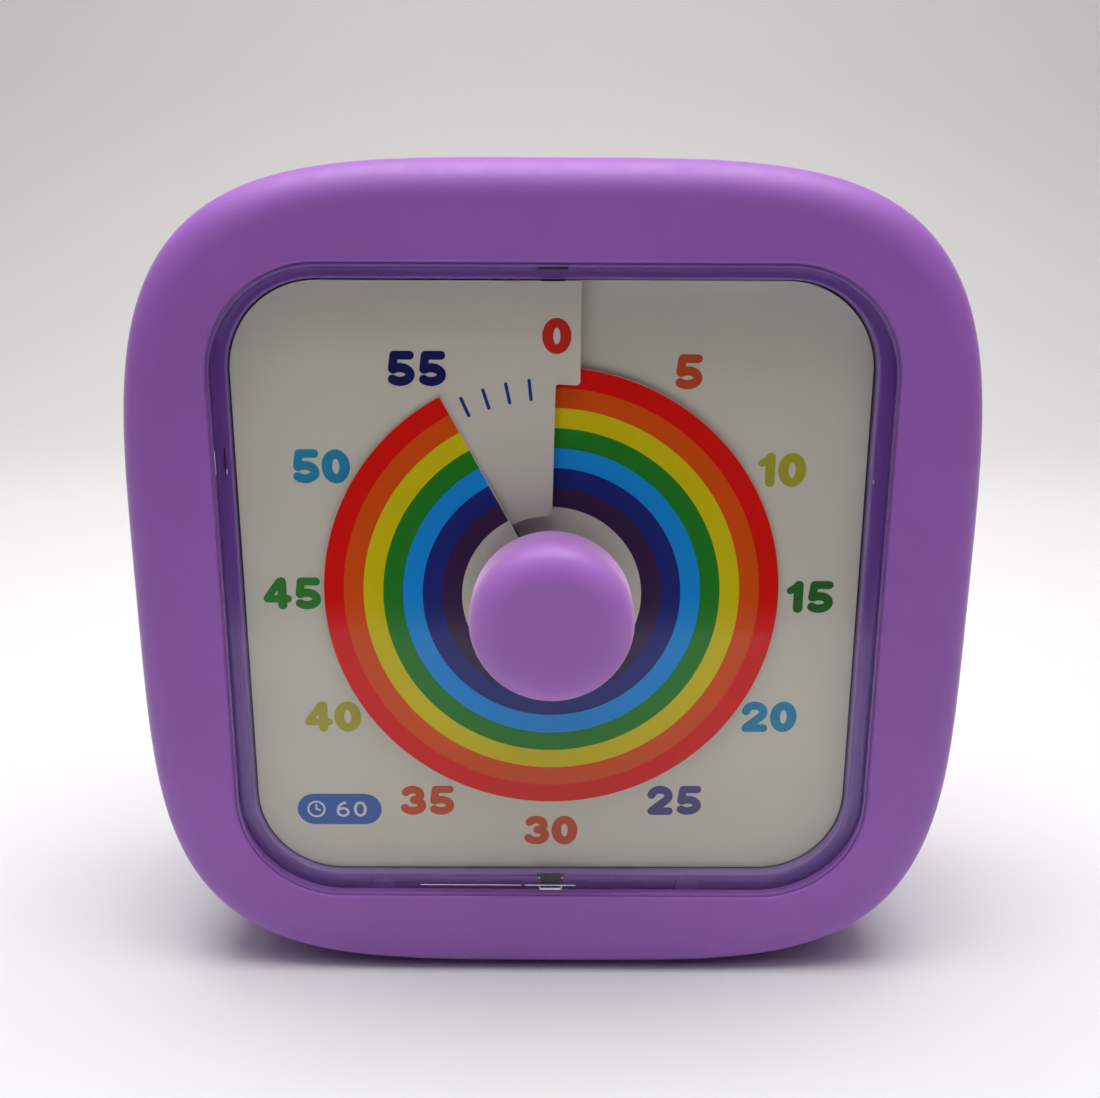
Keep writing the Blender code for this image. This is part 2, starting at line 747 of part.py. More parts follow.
def movement_base():
    """Front half, with the threaded bushing that the nut holds to the dial tray."""
    front = MOVEMENT_DEPTH[0]
    inside = (front + MOVEMENT_FLOOR, 0.02)
    base = movement_half(
        "movement_base", front, MOVEMENT_SPLIT, inside, (0.008, MOVEMENT_SPLIT), (0.0095, 0.014)
    )
    add_post(base, *CENTRE, BUSHING_RADIUS, BUSHING_FRONT, 0.008)
    cut_hole(base, *CENTRE, SPINDLE_BORE, 0.003, 0.009)
    return smooth(base)


def movement_cover():
    front, back = MOVEMENT_SPLIT + GAP, MOVEMENT_DEPTH[1]
    inside = (0.010, back - MOVEMENT_FLOOR)
    post, pilot = (front, 0.018), (0.012, 0.020)
    return smooth(movement_half("movement_cover", front, back, inside, post, pilot))


def bushing_nut():
    outlines = [circle(0.005, 6), circle(BUSHING_RADIUS + GAP)]
    return flat("bushing_nut", outlines, *NUT_DEPTH, "brass", z=DIAL_Z)


def alarm_leaf():
    """Sprung contact whose narrow tip points at the cam's rim."""
    tip_x, root_x = 0.0047, 0.0180
    outline = [(tip_x, 0.0453), (root_x, 0.0448), (root_x, 0.0472), (tip_x, 0.0467)]
    return flat("alarm_leaf", [outline], *LEAF_DEPTH, "brass")


def circuit_board():
    return box("circuit_board", BOARD_X, BOARD_Z, BOARD_DEPTH, "green_board")


def chip():
    """Low blob of black resin over the bonded chip."""
    dome = [(0.0035, 0), (0.0032, 0.0007), (0.002, 0.0012), (0, 0.0014)]
    profile = [(0, PART_FRONT)] + [(radius, PART_FRONT + rise) for radius, rise in dome]
    return turned("chip", profile, "black_plastic", -0.012, 0.068, 20)


def crystal_can():
    radius, length = 0.001, 0.006
    obj = turned("crystal_can", rod_profile(radius, 0, length), "steel", segments=12)
    obj.rotation_euler = (0, 0, 0)
    obj.location = world_point(0.014, 0.0720, PART_FRONT + radius + 0.0001)
    return obj


def buzzer():
    """Thick plate of the sounder with a smaller disc on its front."""
    front, step, back = 0.0238, 0.0244, 0.0262
    small, large = 0.0075, 0.0105
    profile = [(0, front), (small, front), (small, step), (large, step), (large, back), (0, back)]
    return turned("buzzer", profile, "brass", 0, BUZZER_Z)


def switch():
    """Slide switch behind the back wall, and its ribbed slider standing out through the slot."""
    x = (SWITCH_X - 0.0035, SWITCH_X + 0.0035)
    z = (SWITCH_Z - 0.0065, SWITCH_Z + 0.0065)
    box("switch_body", x, z, (PART_FRONT, 0.0262), "steel", 0.0003)
    slider_x = (SWITCH_X - SLIDER_HALF[0], SWITCH_X + SLIDER_HALF[0])
    slider_z = (SWITCH_Z - SLIDER_HALF[1], SWITCH_Z + SLIDER_HALF[1])
    slider = box("switch_slider", slider_x, slider_z, SLIDER_DEPTH, "black_plastic", 0.0003)
    groove_depth = (SLIDER_DEPTH[1] - 0.0003, 0.031)
    for i in (-1, 0, 1):
        groove = SWITCH_Z + 0.0009 * i
        cut_block(slider, x, (groove - 0.0002, groove + 0.0002), groove_depth)


# Battery and contacts


def battery():
    """AA cell lying across the bay, its button end at +X."""
    half, nub, nub_radius, edge = 0.0247, 0.001, 0.0027, 0.0006
    profile = [
        (0, -half - nub),
        (nub_radius, -half - nub),
        (nub_radius, -half),
        (CELL_RADIUS - edge, -half),
        (CELL_RADIUS, -half + edge),
        (CELL_RADIUS, half - edge),
        (CELL_RADIUS - edge, half),
        (0, half),
    ]
    obj = turned("battery_aa", profile, "cell_sleeve", segments=32)
    obj.rotation_euler = (math.pi / 2, 0, math.pi / 2)
    obj.location = world_point(0, CELL_Z, CELL_DEPTH)
    return obj


def contact_plus():
    half = 0.005
    z, depth = (CELL_Z - half, CELL_Z + half), (CELL_DEPTH - half, CELL_DEPTH + half)
    return box("contact_plus", (0.0262, 0.0266), z, depth, "steel")


def contact_minus():
    """Tapered contact spring, from its wide seat at the bay's wall to the cell's flat end."""
    turns, per_turn, start_x, end_x = 3, 10, -0.0269, -0.0253
    wide, narrow, wire = 0.0045, 0.0024, 0.00025
    curve = bpy.data.curves.new("contact_minus", "CURVE")
    curve.dimensions = "3D"
    curve.bevel_depth = wire
    curve.bevel_resolution = 1
    curve.use_fill_caps = True
    spline = curve.splines.new("POLY")
    last = turns * per_turn
    spline.points.add(last)
    for i, point in enumerate(spline.points):
        share = i / last
        a = 2 * math.pi * turns * share
        radius = wide + (narrow - wide) * share
        x = start_x + (end_x - start_x) * share
        point.co = (x, *world_point(0, radius * math.cos(a), radius * math.sin(a))[1:], 1)
    obj = bpy.data.objects.new("contact_minus", curve)
    PARTS.objects.link(obj)
    obj.location = (0, CELL_DEPTH, CELL_Z)
    curve.materials.append(material("steel"))
    return obj


# Screws


def cross_screw(name, x, z, radius, head, shoulder, tip):
    """Pan-head screw driven from the back; shoulder and tip are depths."""
    profile = [
        (0, tip),
        (radius, tip + radius),
        (radius, shoulder),
        (head, shoulder),
        (head, shoulder + 0.6 * head),
        (0.6 * head, shoulder + 0.8 * head),
        (0, shoulder + 0.8 * head),
    ]
    screw = turned(name, profile, "steel", x, z, 12)
    top = (shoulder + 0.45 * head, shoulder + 2 * head)
    cut_block(screw, (x - 0.6 * head, x + 0.6 * head), (z - 0.1 * head, z + 0.1 * head), top)
    cut_block(screw, (x - 0.1 * head, x + 0.1 * head), (z - 0.6 * head, z + 0.6 * head), top)
    return screw


def screws():
    for i, (x, z) in enumerate(screw_places(), 1):
        cross_screw(f"case_screw_{i}", x, z, 0.001, 0.0021, HEAD_SEAT + GAP, 0.0080)
    for i, (x, z) in enumerate(MOVEMENT_SCREWS, 1):
        shoulder = MOVEMENT_DEPTH[1] + GAP
        cross_screw(f"movement_screw_{i}", x, z, 0.0007, 0.0013, shoulder, 0.0100)


def hang_on_axis(names, axis_name, location):
    """Parents moving pieces to an empty on their joint's axis, leaving them where they are."""
    empty = bpy.data.objects.new(axis_name, None)
    PARTS.objects.link(empty)
    empty.location = location
    bpy.context.view_layer.update()
    for name in names:
        piece = bpy.data.objects[name]
        piece.parent = empty
        piece.matrix_parent_inverse = empty.matrix_world.inverted()


def build():
    silicone_cover()
    front_case()
    rear_case()
    battery_door()
    clear_lens()
    dial_plate()
    rainbow_disc()
    dial_tray()
    disc_hub()
    knob()
    spindle()
    clutch_washer()
    alarm_cam()
    clockwork_train()
    stator()
    coil()
    movement_base()
    movement_cover()
    bushing_nut()
    alarm_leaf()
    circuit_board()
    chip()
    crystal_can()
    buzzer()
    switch()
    battery()
    contact_plus()
    contact_minus()
    screws()
    on_dial_axis = world_point(0, DIAL_Z, 0)
    hang_on_axis(["knob", "spindle", "clutch_washer", "alarm_cam"], "knob_axis", on_dial_axis)
    hang_on_axis(["rainbow_disc", "disc_hub"], "disc_axis", on_dial_axis)
    hang_on_axis(["centre_wheel"], "centre_wheel_axis", on_dial_axis)
    hang_on_axis(["third_wheel"], "third_wheel_axis", world_point(*THIRD, 0))
    hang_on_axis(["second_wheel"], "second_wheel_axis", world_point(*SECOND, 0))
    hang_on_axis(["rotor"], "rotor_axis", world_point(*ROTOR, 0))
    door_hinge = world_point(0, BAY_Z[0] + 0.0013, CASE_BACK - DOOR_THICKNESS / 2)
    hang_on_axis(["battery_door"], "door_axis", door_hinge)
    slider_middle = world_point(SWITCH_X, SWITCH_Z, sum(SLIDER_DEPTH) / 2)
    hang_on_axis(["switch_slider"], "slider_axis", slider_middle)


clear_scene()
PARTS = new_collection("rainbow_countdown_timer")
CUTTERS = new_collection("cutters")
build()
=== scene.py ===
"""The looks of a rainbow countdown timer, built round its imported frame.

Depths are measured from the dial's plane along the knob's axis, positive towards the back, and
angles on the dial run clockwise from 12 o'clock. Metres, +Z up, the dial faces -Y.
"""

import json
import math

import bmesh
import bpy
from mathutils import Matrix, Vector


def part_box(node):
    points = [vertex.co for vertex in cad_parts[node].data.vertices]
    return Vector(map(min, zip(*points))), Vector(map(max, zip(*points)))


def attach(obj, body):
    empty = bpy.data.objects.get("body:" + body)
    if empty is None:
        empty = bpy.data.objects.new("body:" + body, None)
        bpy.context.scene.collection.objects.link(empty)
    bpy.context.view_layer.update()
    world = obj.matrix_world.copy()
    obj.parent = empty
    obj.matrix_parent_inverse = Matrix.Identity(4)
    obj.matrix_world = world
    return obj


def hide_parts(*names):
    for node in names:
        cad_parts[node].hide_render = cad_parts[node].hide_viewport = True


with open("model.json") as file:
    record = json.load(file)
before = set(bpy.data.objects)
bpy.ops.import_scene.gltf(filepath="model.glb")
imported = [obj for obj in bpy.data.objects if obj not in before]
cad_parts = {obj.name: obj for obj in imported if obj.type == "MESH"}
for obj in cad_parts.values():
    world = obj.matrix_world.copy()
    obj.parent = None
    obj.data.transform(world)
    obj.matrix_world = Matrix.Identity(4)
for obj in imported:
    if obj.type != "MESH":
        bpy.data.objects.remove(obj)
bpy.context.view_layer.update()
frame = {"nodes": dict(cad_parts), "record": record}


def joint(name):
    return next(j for j in frame["record"]["behaviour"]["joints"] if j["name"] == name)


def coupling(name):
    return next(c for c in frame["record"]["behaviour"]["couplings"] if c["joint"] == name)


# Sizes read from the frame
AXIS = Vector(joint("knob_turn")["pos_m"])
PITCH = coupling("disc_wind")["ratio"] * 2 * math.pi
DISC_LEAD = math.radians(-joint("knob_turn")["range_deg"][0])
COVER_LOW, COVER_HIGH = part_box("silicone_cover")
HALF = COVER_HIGH[0]
COVER_FRONT = COVER_LOW[1] - AXIS.y
COVER_BACK = COVER_HIGH[1] - AXIS.y
CASE_LOW, CASE_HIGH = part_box("front_case")
CASE_HALF = CASE_HIGH[0]
CASE_FRONT = CASE_LOW[1] - AXIS.y
CASE_SPLIT = CASE_HIGH[1] - AXIS.y
LENS_LOW, LENS_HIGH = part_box("clear_lens")
LENS_HALF = LENS_HIGH[0]
LENS_FRONT = LENS_LOW[1] - AXIS.y
LENS_BACK = LENS_HIGH[1] - AXIS.y
CARD_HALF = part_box("dial_plate")[1][0]
DISC_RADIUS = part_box("rainbow_disc")[1][0]
KNOB_LOW, KNOB_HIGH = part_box("knob")
KNOB_RADIUS = KNOB_HIGH[0]
KNOB_FRONT = KNOB_LOW[1] - AXIS.y
KNOB_REAR = KNOB_HIGH[1] - AXIS.y
REAR_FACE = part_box("rear_case")[1][1] - AXIS.y

# Cover, shells and lens
OUTLINE_POWER = 4.0
AROUND = 240
COVER_WALL = 0.002
OPENING_HALF = LENS_HALF + 0.0004
OPENING_CORNER = 0.0118
BACK_OPENING_HALF = 0.0355
WINDOW_GAP = 0.0002
WINDOW_HALF = CARD_HALF + WINDOW_GAP
WINDOW_CORNER = 0.0097
WINDOW_DEPTH = 0.005
LENS_CORNER = 0.0114
LENS_BORE = 0.0034
SHELL = 0.002

# Catches of the lens: a slot between lens and front shell, and a film on the lens's face
CATCH_SLOT = (LENS_BACK + 0.00004, CASE_FRONT - 0.00006)
LENS_FILM = (LENS_FRONT - 0.00006, LENS_FRONT + 0.00004)
CATCH_EDGE = WINDOW_HALF + 0.0001
SIDE_CATCH_X = -0.03475
SIDE_CATCH_LOW, SIDE_CATCH_HIGH = 0.01355, 0.01645

# Knob
KNOB_SWELL = 1.026
KNOB_RIM = -0.0051

# Card: its bore and slit, and the flap's tab, step and corners beside the slit
CARD_BORE = 0.0091
CARD_SLIT = 0.0006
SHEET = 0.0003
FLAP_STEP = 0.0233
FLAP_TAB = 0.0029
FLAP_CUT = 0.0003
TAB_CORNER = 0.0005
NOOK = 0.0004
NOSE = 0.0007
FLAP_CURL = 0.0004

# Disc
DISC_BORE = 0.0045
DISC_CUT_ANGLE = 0.004
DISC_SAG = 0.00038
BAND_COUNT = 7
WHITE_CENTRE = 0.00985

# Print on the card; the first nine numbers stand a little low on their ring
INK = 0.00002
NUMBER_RING = 0.0287
NUMBER_HEIGHT = 0.0036
NUMBER_WEIGHT = 1.14
ZERO_SHIFT = 0.0004
LOW_NUMBERS = 9
LOW_NUMBER_DROP = 0.0004
DIGIT_GAP = 0.07
DIGIT_STRETCH = 1.08
TICK_INNER, TICK_OUTER = 0.0218, 0.0238
TICK_WIDTH = 0.00036


# Materials


def node(mat, kind, **values):
    """A new node with its sockets, or else its own settings, set by name."""
    made = mat.node_tree.nodes.new(kind)
    sockets = {socket.name.lower().replace(" ", "_"): socket for socket in made.inputs}
    for key, value in values.items():
        if key in sockets:
            sockets[key].default_value = value
        else:
            setattr(made, key, value)
    return made


def link(mat, source, target):
    mat.node_tree.links.new(source, target)


def noise(mat, scale, detail=3.0):
    """Noise over the piece's own space; scale is in cells to the metre."""
    place = node(mat, "ShaderNodeTexCoord")
    texture = node(mat, "ShaderNodeTexNoise", scale=scale, detail=detail)
    link(mat, place.outputs["Object"], texture.inputs["Vector"])
    return texture.outputs["Fac"]


def ramp(mat, source, low, high, low_value, high_value):
    """Spreads a grey pattern between low and high over a range of numbers."""
    spread = node(mat, "ShaderNodeMapRange")
    for name, value in zip(
        ("From Min", "From Max", "To Min", "To Max"), (low, high, low_value, high_value)
    ):
        spread.inputs[name].default_value = value
    link(mat, source, spread.inputs["Value"])
    return spread.outputs["Result"]


def mixed_colour(mat, factor, first, second):
    """Blends two colours, each of them an RGB list or the output of another node."""
    blend = node(mat, "ShaderNodeMix", data_type="RGBA")
    for socket, colour in ((blend.inputs[6], first), (blend.inputs[7], second)):
        if isinstance(colour, bpy.types.NodeSocket):
            link(mat, colour, socket)
        else:
            socket.default_value = (*colour, 1)
    link(mat, factor, blend.inputs[0])
    return blend.outputs[2]


def bump(mat, shader, pattern, depth):
    made = node(mat, "ShaderNodeBump", distance=depth)
    link(mat, pattern, made.inputs["Height"])
    link(mat, made.outputs["Normal"], shader.inputs["Normal"])


def uneven_gloss(mat, shader, scale, low, high):
    """Roughness that wanders between two values."""
    link(mat, ramp(mat, noise(mat, scale), 0.3, 0.7, low, high), shader.inputs["Roughness"])


def blank(name):
    """A new material and its shader."""
    mat = bpy.data.materials.new(name)
    mat.use_nodes = True
    return mat, mat.node_tree.nodes["Principled BSDF"]


def moulded(
    name,
    colour,
    roughness,
    grain=2500,
    depth=0.00001,
    mottle=0.06,
    metallic=0.0,
    cloud=60,
    **more,
):
    """A moulded, printed or stamped finish: cloudy colour, uneven gloss and a fine grain."""
    mat, shader = blank(name)
    shader.inputs["Metallic"].default_value = metallic
    sockets = {socket.name.lower().replace(" ", "_"): socket for socket in shader.inputs}
    for key, value in more.items():
        sockets[key].default_value = value
    pale = [min(1.0, c * (1 + mottle)) for c in colour]
    dark = [c * (1 - mottle) for c in colour]
    clouds = ramp(mat, noise(mat, cloud, 5), 0.35, 0.65, 0, 1)
    link(mat, mixed_colour(mat, clouds, dark, pale), shader.inputs["Base Color"])
    uneven_gloss(mat, shader, cloud * 7, roughness * 0.88, roughness * 1.12)
    bump(mat, shader, noise(mat, grain, 2), depth)
    return mat


def clear_plastic():
    """Clear acrylic: it passes light straight through, and mirrors more at a glancing angle."""
    mat, plain = blank("clear_acrylic")
    tree = mat.node_tree
    tree.nodes.remove(plain)
    through = node(mat, "ShaderNodeBsdfTransparent", color=(0.985, 0.985, 0.99, 1))
    mirror = node(mat, "ShaderNodeBsdfGlossy", color=(1, 1, 1, 1), roughness=0.03)
    facing = node(mat, "ShaderNodeLayerWeight", blend=0.5)
    steep = node(mat, "ShaderNodeMath", operation="POWER")
    steep.inputs[1].default_value = 5.0
    link(mat, facing.outputs["Facing"], steep.inputs[0])
    blend = node(mat, "ShaderNodeMixShader")
    link(mat, ramp(mat, steep.outputs[0], 0, 1, 0.015, 0.9), blend.inputs[0])
    link(mat, through.outputs[0], blend.inputs[1])
    link(mat, mirror.outputs[0], blend.inputs[2])
    link(mat, blend.outputs[0], tree.nodes["Material Output"].inputs["Surface"])
    return mat


def along(mat, axis):
    """How far a point of the piece lies along an axis of its own space."""
    place = node(mat, "ShaderNodeTexCoord")
    split = node(mat, "ShaderNodeSeparateXYZ")
    link(mat, place.outputs["Object"], split.inputs[0])
    return split.outputs[axis]


def glossy_purple():
    """Glossy purple of the front shell, its colour paler down the wall of the window: partly a paler
    plastic, partly painted light falling on the wall from above.
    """
    face, wall = (0.2, 0.078, 0.41), (0.33, 0.22, 0.56)
    mat = moulded("gloss_purple", face, 0.13, 900, 0.000006, 0.08)
    shader = mat.node_tree.nodes["Principled BSDF"]
    lip = AXIS.y + CASE_FRONT
    # The wall's paler colour is partly the plastic's own and partly painted light from above.
    share = ramp(mat, along(mat, "Y"), lip + 0.00005, lip + 0.0003, 0, 1)
    link(mat, mixed_colour(mat, share, face, wall), shader.inputs["Base Color"])
    return mat


def battery_sleeve(name):
    """Green printed sleeve with a gold band, between bare steel ends."""
    mat, shader = blank(name)
    steel, green, gold = (0.62, 0.62, 0.64), (0.03, 0.16, 0.08), (0.75, 0.52, 0.16)
    stops = [(0.0, steel), (0.012, green), (0.68, gold), (0.74, green), (0.965, steel)]
    low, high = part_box("battery_aa")
    bands = node(mat, "ShaderNodeValToRGB")
    bands.color_ramp.interpolation = "CONSTANT"
    link(mat, ramp(mat, along(mat, "X"), low[0], high[0], 0, 1), bands.inputs[0])
    ends = bands.color_ramp.elements
    while len(ends) < len(stops):
        ends.new(0.5)
    for stop, (where, colour) in zip(ends, stops):
        stop.position = where
        stop.color = (*colour, 1)
    link(mat, bands.outputs[0], shader.inputs["Base Color"])
    uneven_gloss(mat, shader, 300, 0.22, 0.34)
    shader.inputs["Metallic"].default_value = 0.35
    bump(mat, shader, noise(mat, 1500), 0.000008)
    return mat


def board_green(name):
    """Solder mask with faint copper tracks under it."""
    mat, shader = blank(name)
    place = node(mat, "ShaderNodeTexCoord")
    upright = node(mat, "ShaderNodeMapping", rotation=(math.pi / 2, 0, 0))
    tracks = node(
        mat,
        "ShaderNodeTexBrick",
        scale=420.0,
        mortar_size=0.06,
        color1=(0.012, 0.12, 0.045, 1),
        color2=(0.014, 0.135, 0.05, 1),
        mortar=(0.05, 0.26, 0.08, 1),
    )
    link(mat, place.outputs["Object"], upright.inputs["Vector"])
    link(mat, upright.outputs[0], tracks.inputs["Vector"])
    link(mat, tracks.outputs["Color"], shader.inputs["Base Color"])
    uneven_gloss(mat, shader, 600, 0.22, 0.36)
    bump(mat, shader, tracks.outputs["Fac"], 0.00002)
    return mat


# By slot. The numbers are roughness, grain cells to the metre, grain depth, mottle and metallic.
FINISHES = {
    "lilac_silicone": moulded(
        "soft_silicone",
        (0.33, 0.112, 0.505),
        0.52,
        3200,
        0.000012,
        0.04,
        sheen_weight=0.28,
        sheen_roughness=0.3,
    ),
    "lilac_plastic": moulded(
        "knob_plastic",
        (0.37, 0.125, 0.56),
        0.46,
        2600,
        0.000006,
        0.03,
        sheen_weight=1.0,
        sheen_roughness=0.55,
        sheen_tint=(0.95, 0.62, 1.0, 1.0),
    ),
    "purple_plastic": glossy_purple(),
    "white_card": moulded(
        "card_white", (0.755, 0.725, 0.60), 0.45, 4200, 0.000006, 0.02, specular_ior_level=0.2
    ),
    "white_plastic": moulded("moulded_white", (0.72, 0.71, 0.69), 0.38, 2200, 0.00001, 0.03),
    "gear_plastic": moulded("acetal", (0.78, 0.72, 0.56), 0.33, 2600, 0.000006),
    "magnet": moulded("ferrite", (0.12, 0.12, 0.125), 0.42, 3800, 0.00001, 0.1, 0.8),
    "brass": moulded("stamped_brass", (0.80, 0.57, 0.24), 0.28, 1800, 0.000008, 0.08, 1.0),
    "steel": moulded("plated_steel", (0.62, 0.62, 0.64), 0.26, 2400, 0.000006, 0.06, 1.0),
    "copper": moulded("enamelled_wire", (0.72, 0.27, 0.11), 0.3, 5200, 0.00004, 0.12, 0.9),
    "black_plastic": moulded("moulded_black", (0.022, 0.022, 0.024), 0.42, 3000, 0.000012, 0.1),
    "clear_plastic": clear_plastic(),
    "cell_sleeve": battery_sleeve("sleeve"),
    "green_board": board_green("solder_mask"),
}
BAND_COLOURS = {
    "violet": (0.06, 0.02, 0.085),
    "dark_blue": (0.016, 0.028, 0.24),
    "light_blue": (0.008, 0.34, 0.90),
    "green": (0.02, 0.27, 0.02),
    "yellow": (0.80, 0.68, 0.004),
    "orange": (0.86, 0.10, 0.004),
    "red": (0.88, 0.006, 0.003),
}
INKS = {
    "scarlet": (0.70, 0.03, 0.02),
    "vermilion": (0.68, 0.10, 0.03),
    "lime": (0.46, 0.46, 0.04),
    "forest": (0.03, 0.18, 0.03),
    "teal": (0.03, 0.30, 0.52),
    "slate": (0.10, 0.09, 0.28),
    "olive": (0.50, 0.46, 0.05),
    "leaf": (0.05, 0.28, 0.05),
    "navy": (0.012, 0.015, 0.12),
    "tick_blue": (0.02, 0.05, 0.30),
    "badge_blue": (0.06, 0.16, 0.48),
    "badge_white": (0.80, 0.80, 0.78),
}
# One ink for each number, clockwise from 0
NUMBER_INKS = ["scarlet", "vermilion", "lime", "forest", "teal", "slate"]
NUMBER_INKS += ["vermilion", "vermilion", "olive", "leaf", "teal", "navy"]


def printed(name, colour):
    return moulded(name, colour, 0.42, 3800, 0.000005, 0.03, specular_ior_level=0.04)


# Mesh tools


def at(x, z, depth):
    """A point across and up from the dial's centre, at a depth."""
    return Vector((x, AXIS.y + depth, AXIS.z + z))


def finish_mesh(name, shape, materials, angle=32):
    """Turns a shape into a smooth piece with edges sharp past an angle in degrees."""
    bmesh.ops.recalc_face_normals(shape, faces=shape.faces)
    mesh = bpy.data.meshes.new(name)
    shape.to_mesh(mesh)
    shape.free()
    for mat in materials:
        mesh.materials.append(mat)
    mesh.shade_smooth()
    mesh.set_sharp_from_angle(angle=math.radians(angle))
    piece = bpy.data.objects.new(name, mesh)
    bpy.context.scene.collection.objects.link(piece)
    return piece


def own(piece, body, slot, *nodes):
    """The piece rides on a body and stands for some CAD nodes; the slot is not used."""
    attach(piece, body)
    if nodes:
        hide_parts(*nodes)


def squircle(half):
    """Outline between a square and a circle, as the distance from its middle at an angle."""

    def reach(angle):
        across = abs(math.cos(angle)) ** OUTLINE_POWER
        up = abs(math.sin(angle)) ** OUTLINE_POWER
        return half / (across + up) ** (1 / OUTLINE_POWER)

    return reach


def rounded(half, corner):
    """Square with round corners, as the distance from its middle at an angle."""
    centre = half - corner

    def reach(angle):
        across, up = abs(math.cos(angle)), abs(math.sin(angle))
        to_side = half / max(across, up)
        if to_side * min(across, up) <= centre:
            return to_side
        to_centre = centre * (across + up)
        return to_centre + math.sqrt(to_centre**2 - 2 * centre**2 + corner**2)

    return reach


def round_of(radius):
    return lambda angle: radius


def between(first, second, share):
    """Outline part of the way from one outline to another."""
    return lambda angle: first(angle) + (second(angle) - first(angle)) * share


def full_turn(count):
    return [2 * math.pi * i / count for i in range(count)]


def ring(reach, depth):
    """Points round an outline at one depth."""
    angles = full_turn(AROUND)
    return [at(reach(a) * math.cos(a), reach(a) * math.sin(a), depth) for a in angles]


def skin(shape, rows, wrap=False, caps=False, index=0):
    """Faces between rows of points that close on themselves, all of one material."""
    grid = [[shape.verts.new(p) for p in row] for row in rows]
    pairs = list(zip(grid, grid[1:])) + ([(grid[-1], grid[0])] if wrap else [])
    faces = []
    for near, far in pairs:
        for i in range(len(near)):
            j = (i + 1) % len(near)
            faces.append(shape.faces.new((near[i], near[j], far[j], far[i])))
    if caps:
        ends = [shape.faces.new(grid[0]), shape.faces.new(grid[-1])]
        faces += bmesh.ops.poke(shape, faces=ends)["faces"]
    for face in faces:
        face.material_index = index


def loft(name, rows, materials, wrap=True, caps=False, angle=32):
    shape = bmesh.new()
    skin(shape, rows, wrap, caps)
    return finish_mesh(name, shape, materials, angle)


def corner_rows(first, second, from_depth, to_depth, steps, face_first=True):
    """Rings round a quarter of an ellipse, from a face's outline to a wall's, each at its depth."""
    rows = []
    for i in range(steps + 1):
        a = math.pi / 2 * i / steps
        reach = between(first, second, math.sin(a))
        rows.append(ring(reach, to_depth + (from_depth - to_depth) * math.cos(a)))
    return rows if face_first else rows[::-1]


def turned(name, profile, materials, count, x=0.0, z=0.0):
    """A turned piece about an axis along the depth; the profile is (radius, depth)."""
    angles = full_turn(count)
    rows = [[at(x + r * math.cos(a), z + r * math.sin(a), d) for a in angles] for r, d in profile]
    shape = bmesh.new()
    skin(shape, rows, caps=True)
    return finish_mesh(name, shape, materials)


def block(shape, x, z, depth, edge):
    """A block between pairs of x, z and depth, with rounded edges."""
    made = bmesh.ops.create_cube(shape, size=1.0)["verts"]
    for v in made:
        v.co = at(
            sum(x) / 2 + v.co.x * (x[1] - x[0]),
            sum(z) / 2 + v.co.z * (z[1] - z[0]),
            sum(depth) / 2 + v.co.y * (depth[1] - depth[0]),
        )
    edges = list(dict.fromkeys(e for v in made for e in v.link_edges))
    bmesh.ops.bevel(shape, geom=edges, offset=edge, segments=3, affect="EDGES", profile=0.5)


def blocks(name, parts, materials, edge):
    shape = bmesh.new()
    for x, z, depth in parts:
        block(shape, x, z, depth, edge)
    return finish_mesh(name, shape, materials)


# Cover, case and lens


def silicone_cover():
    """Soft bumper: rounded lip at the lens, flat front, full edge, and a lip round the back."""
    lip, front_edge, back_edge = 0.0005, 0.0038, 0.006
    inner, front_bend, back_bend, bend_middle = HALF - COVER_WALL, 0.0022, 0.0035, 0.0012
    inside_back = COVER_BACK - COVER_WALL
    opening = rounded(OPENING_HALF, OPENING_CORNER)
    lip_top = rounded(OPENING_HALF + lip, OPENING_CORNER + lip)
    front_flat = squircle(HALF - front_edge)
    back_open = squircle(BACK_OPENING_HALF)
    back_lip = squircle(BACK_OPENING_HALF + lip)
    back_flat = squircle(HALF - back_edge)
    rows = [ring(opening, LENS_BACK), ring(opening, COVER_FRONT + lip * 1.3)]
    rows += corner_rows(lip_top, opening, COVER_FRONT, COVER_FRONT + lip, 5, False)
    rows += [ring(between(lip_top, front_flat, s), COVER_FRONT) for s in (0.04, 0.3, 0.6, 0.9, 0.97)]
    rows += corner_rows(front_flat, squircle(HALF), COVER_FRONT, COVER_FRONT + front_edge, 12)
    start, stop = COVER_FRONT + front_edge, COVER_BACK - back_edge
    rows += [ring(squircle(HALF), start + (stop - start) * s) for s in (0.02, 0.5, 0.98)]
    rows += corner_rows(back_flat, squircle(HALF), COVER_BACK, COVER_BACK - back_edge, 12, False)
    rows += [ring(between(back_flat, back_lip, s), COVER_BACK) for s in (0.05, 0.5, 0.95)]
    rows += corner_rows(back_lip, back_open, COVER_BACK, COVER_BACK - lip, 5)
    rows += [
        ring(back_open, inside_back),
        ring(squircle(inner - back_bend), inside_back),
        ring(squircle(inner - bend_middle), inside_back - bend_middle),
        ring(squircle(inner), inside_back - back_bend),
        ring(squircle(inner), LENS_BACK + front_bend),
        ring(squircle(inner - front_bend), LENS_BACK),
    ]
    cover = loft("soft_cover", rows, [FINISHES["lilac_silicone"]], angle=50)
    own(cover, "case", "lilac_silicone", "silicone_cover")


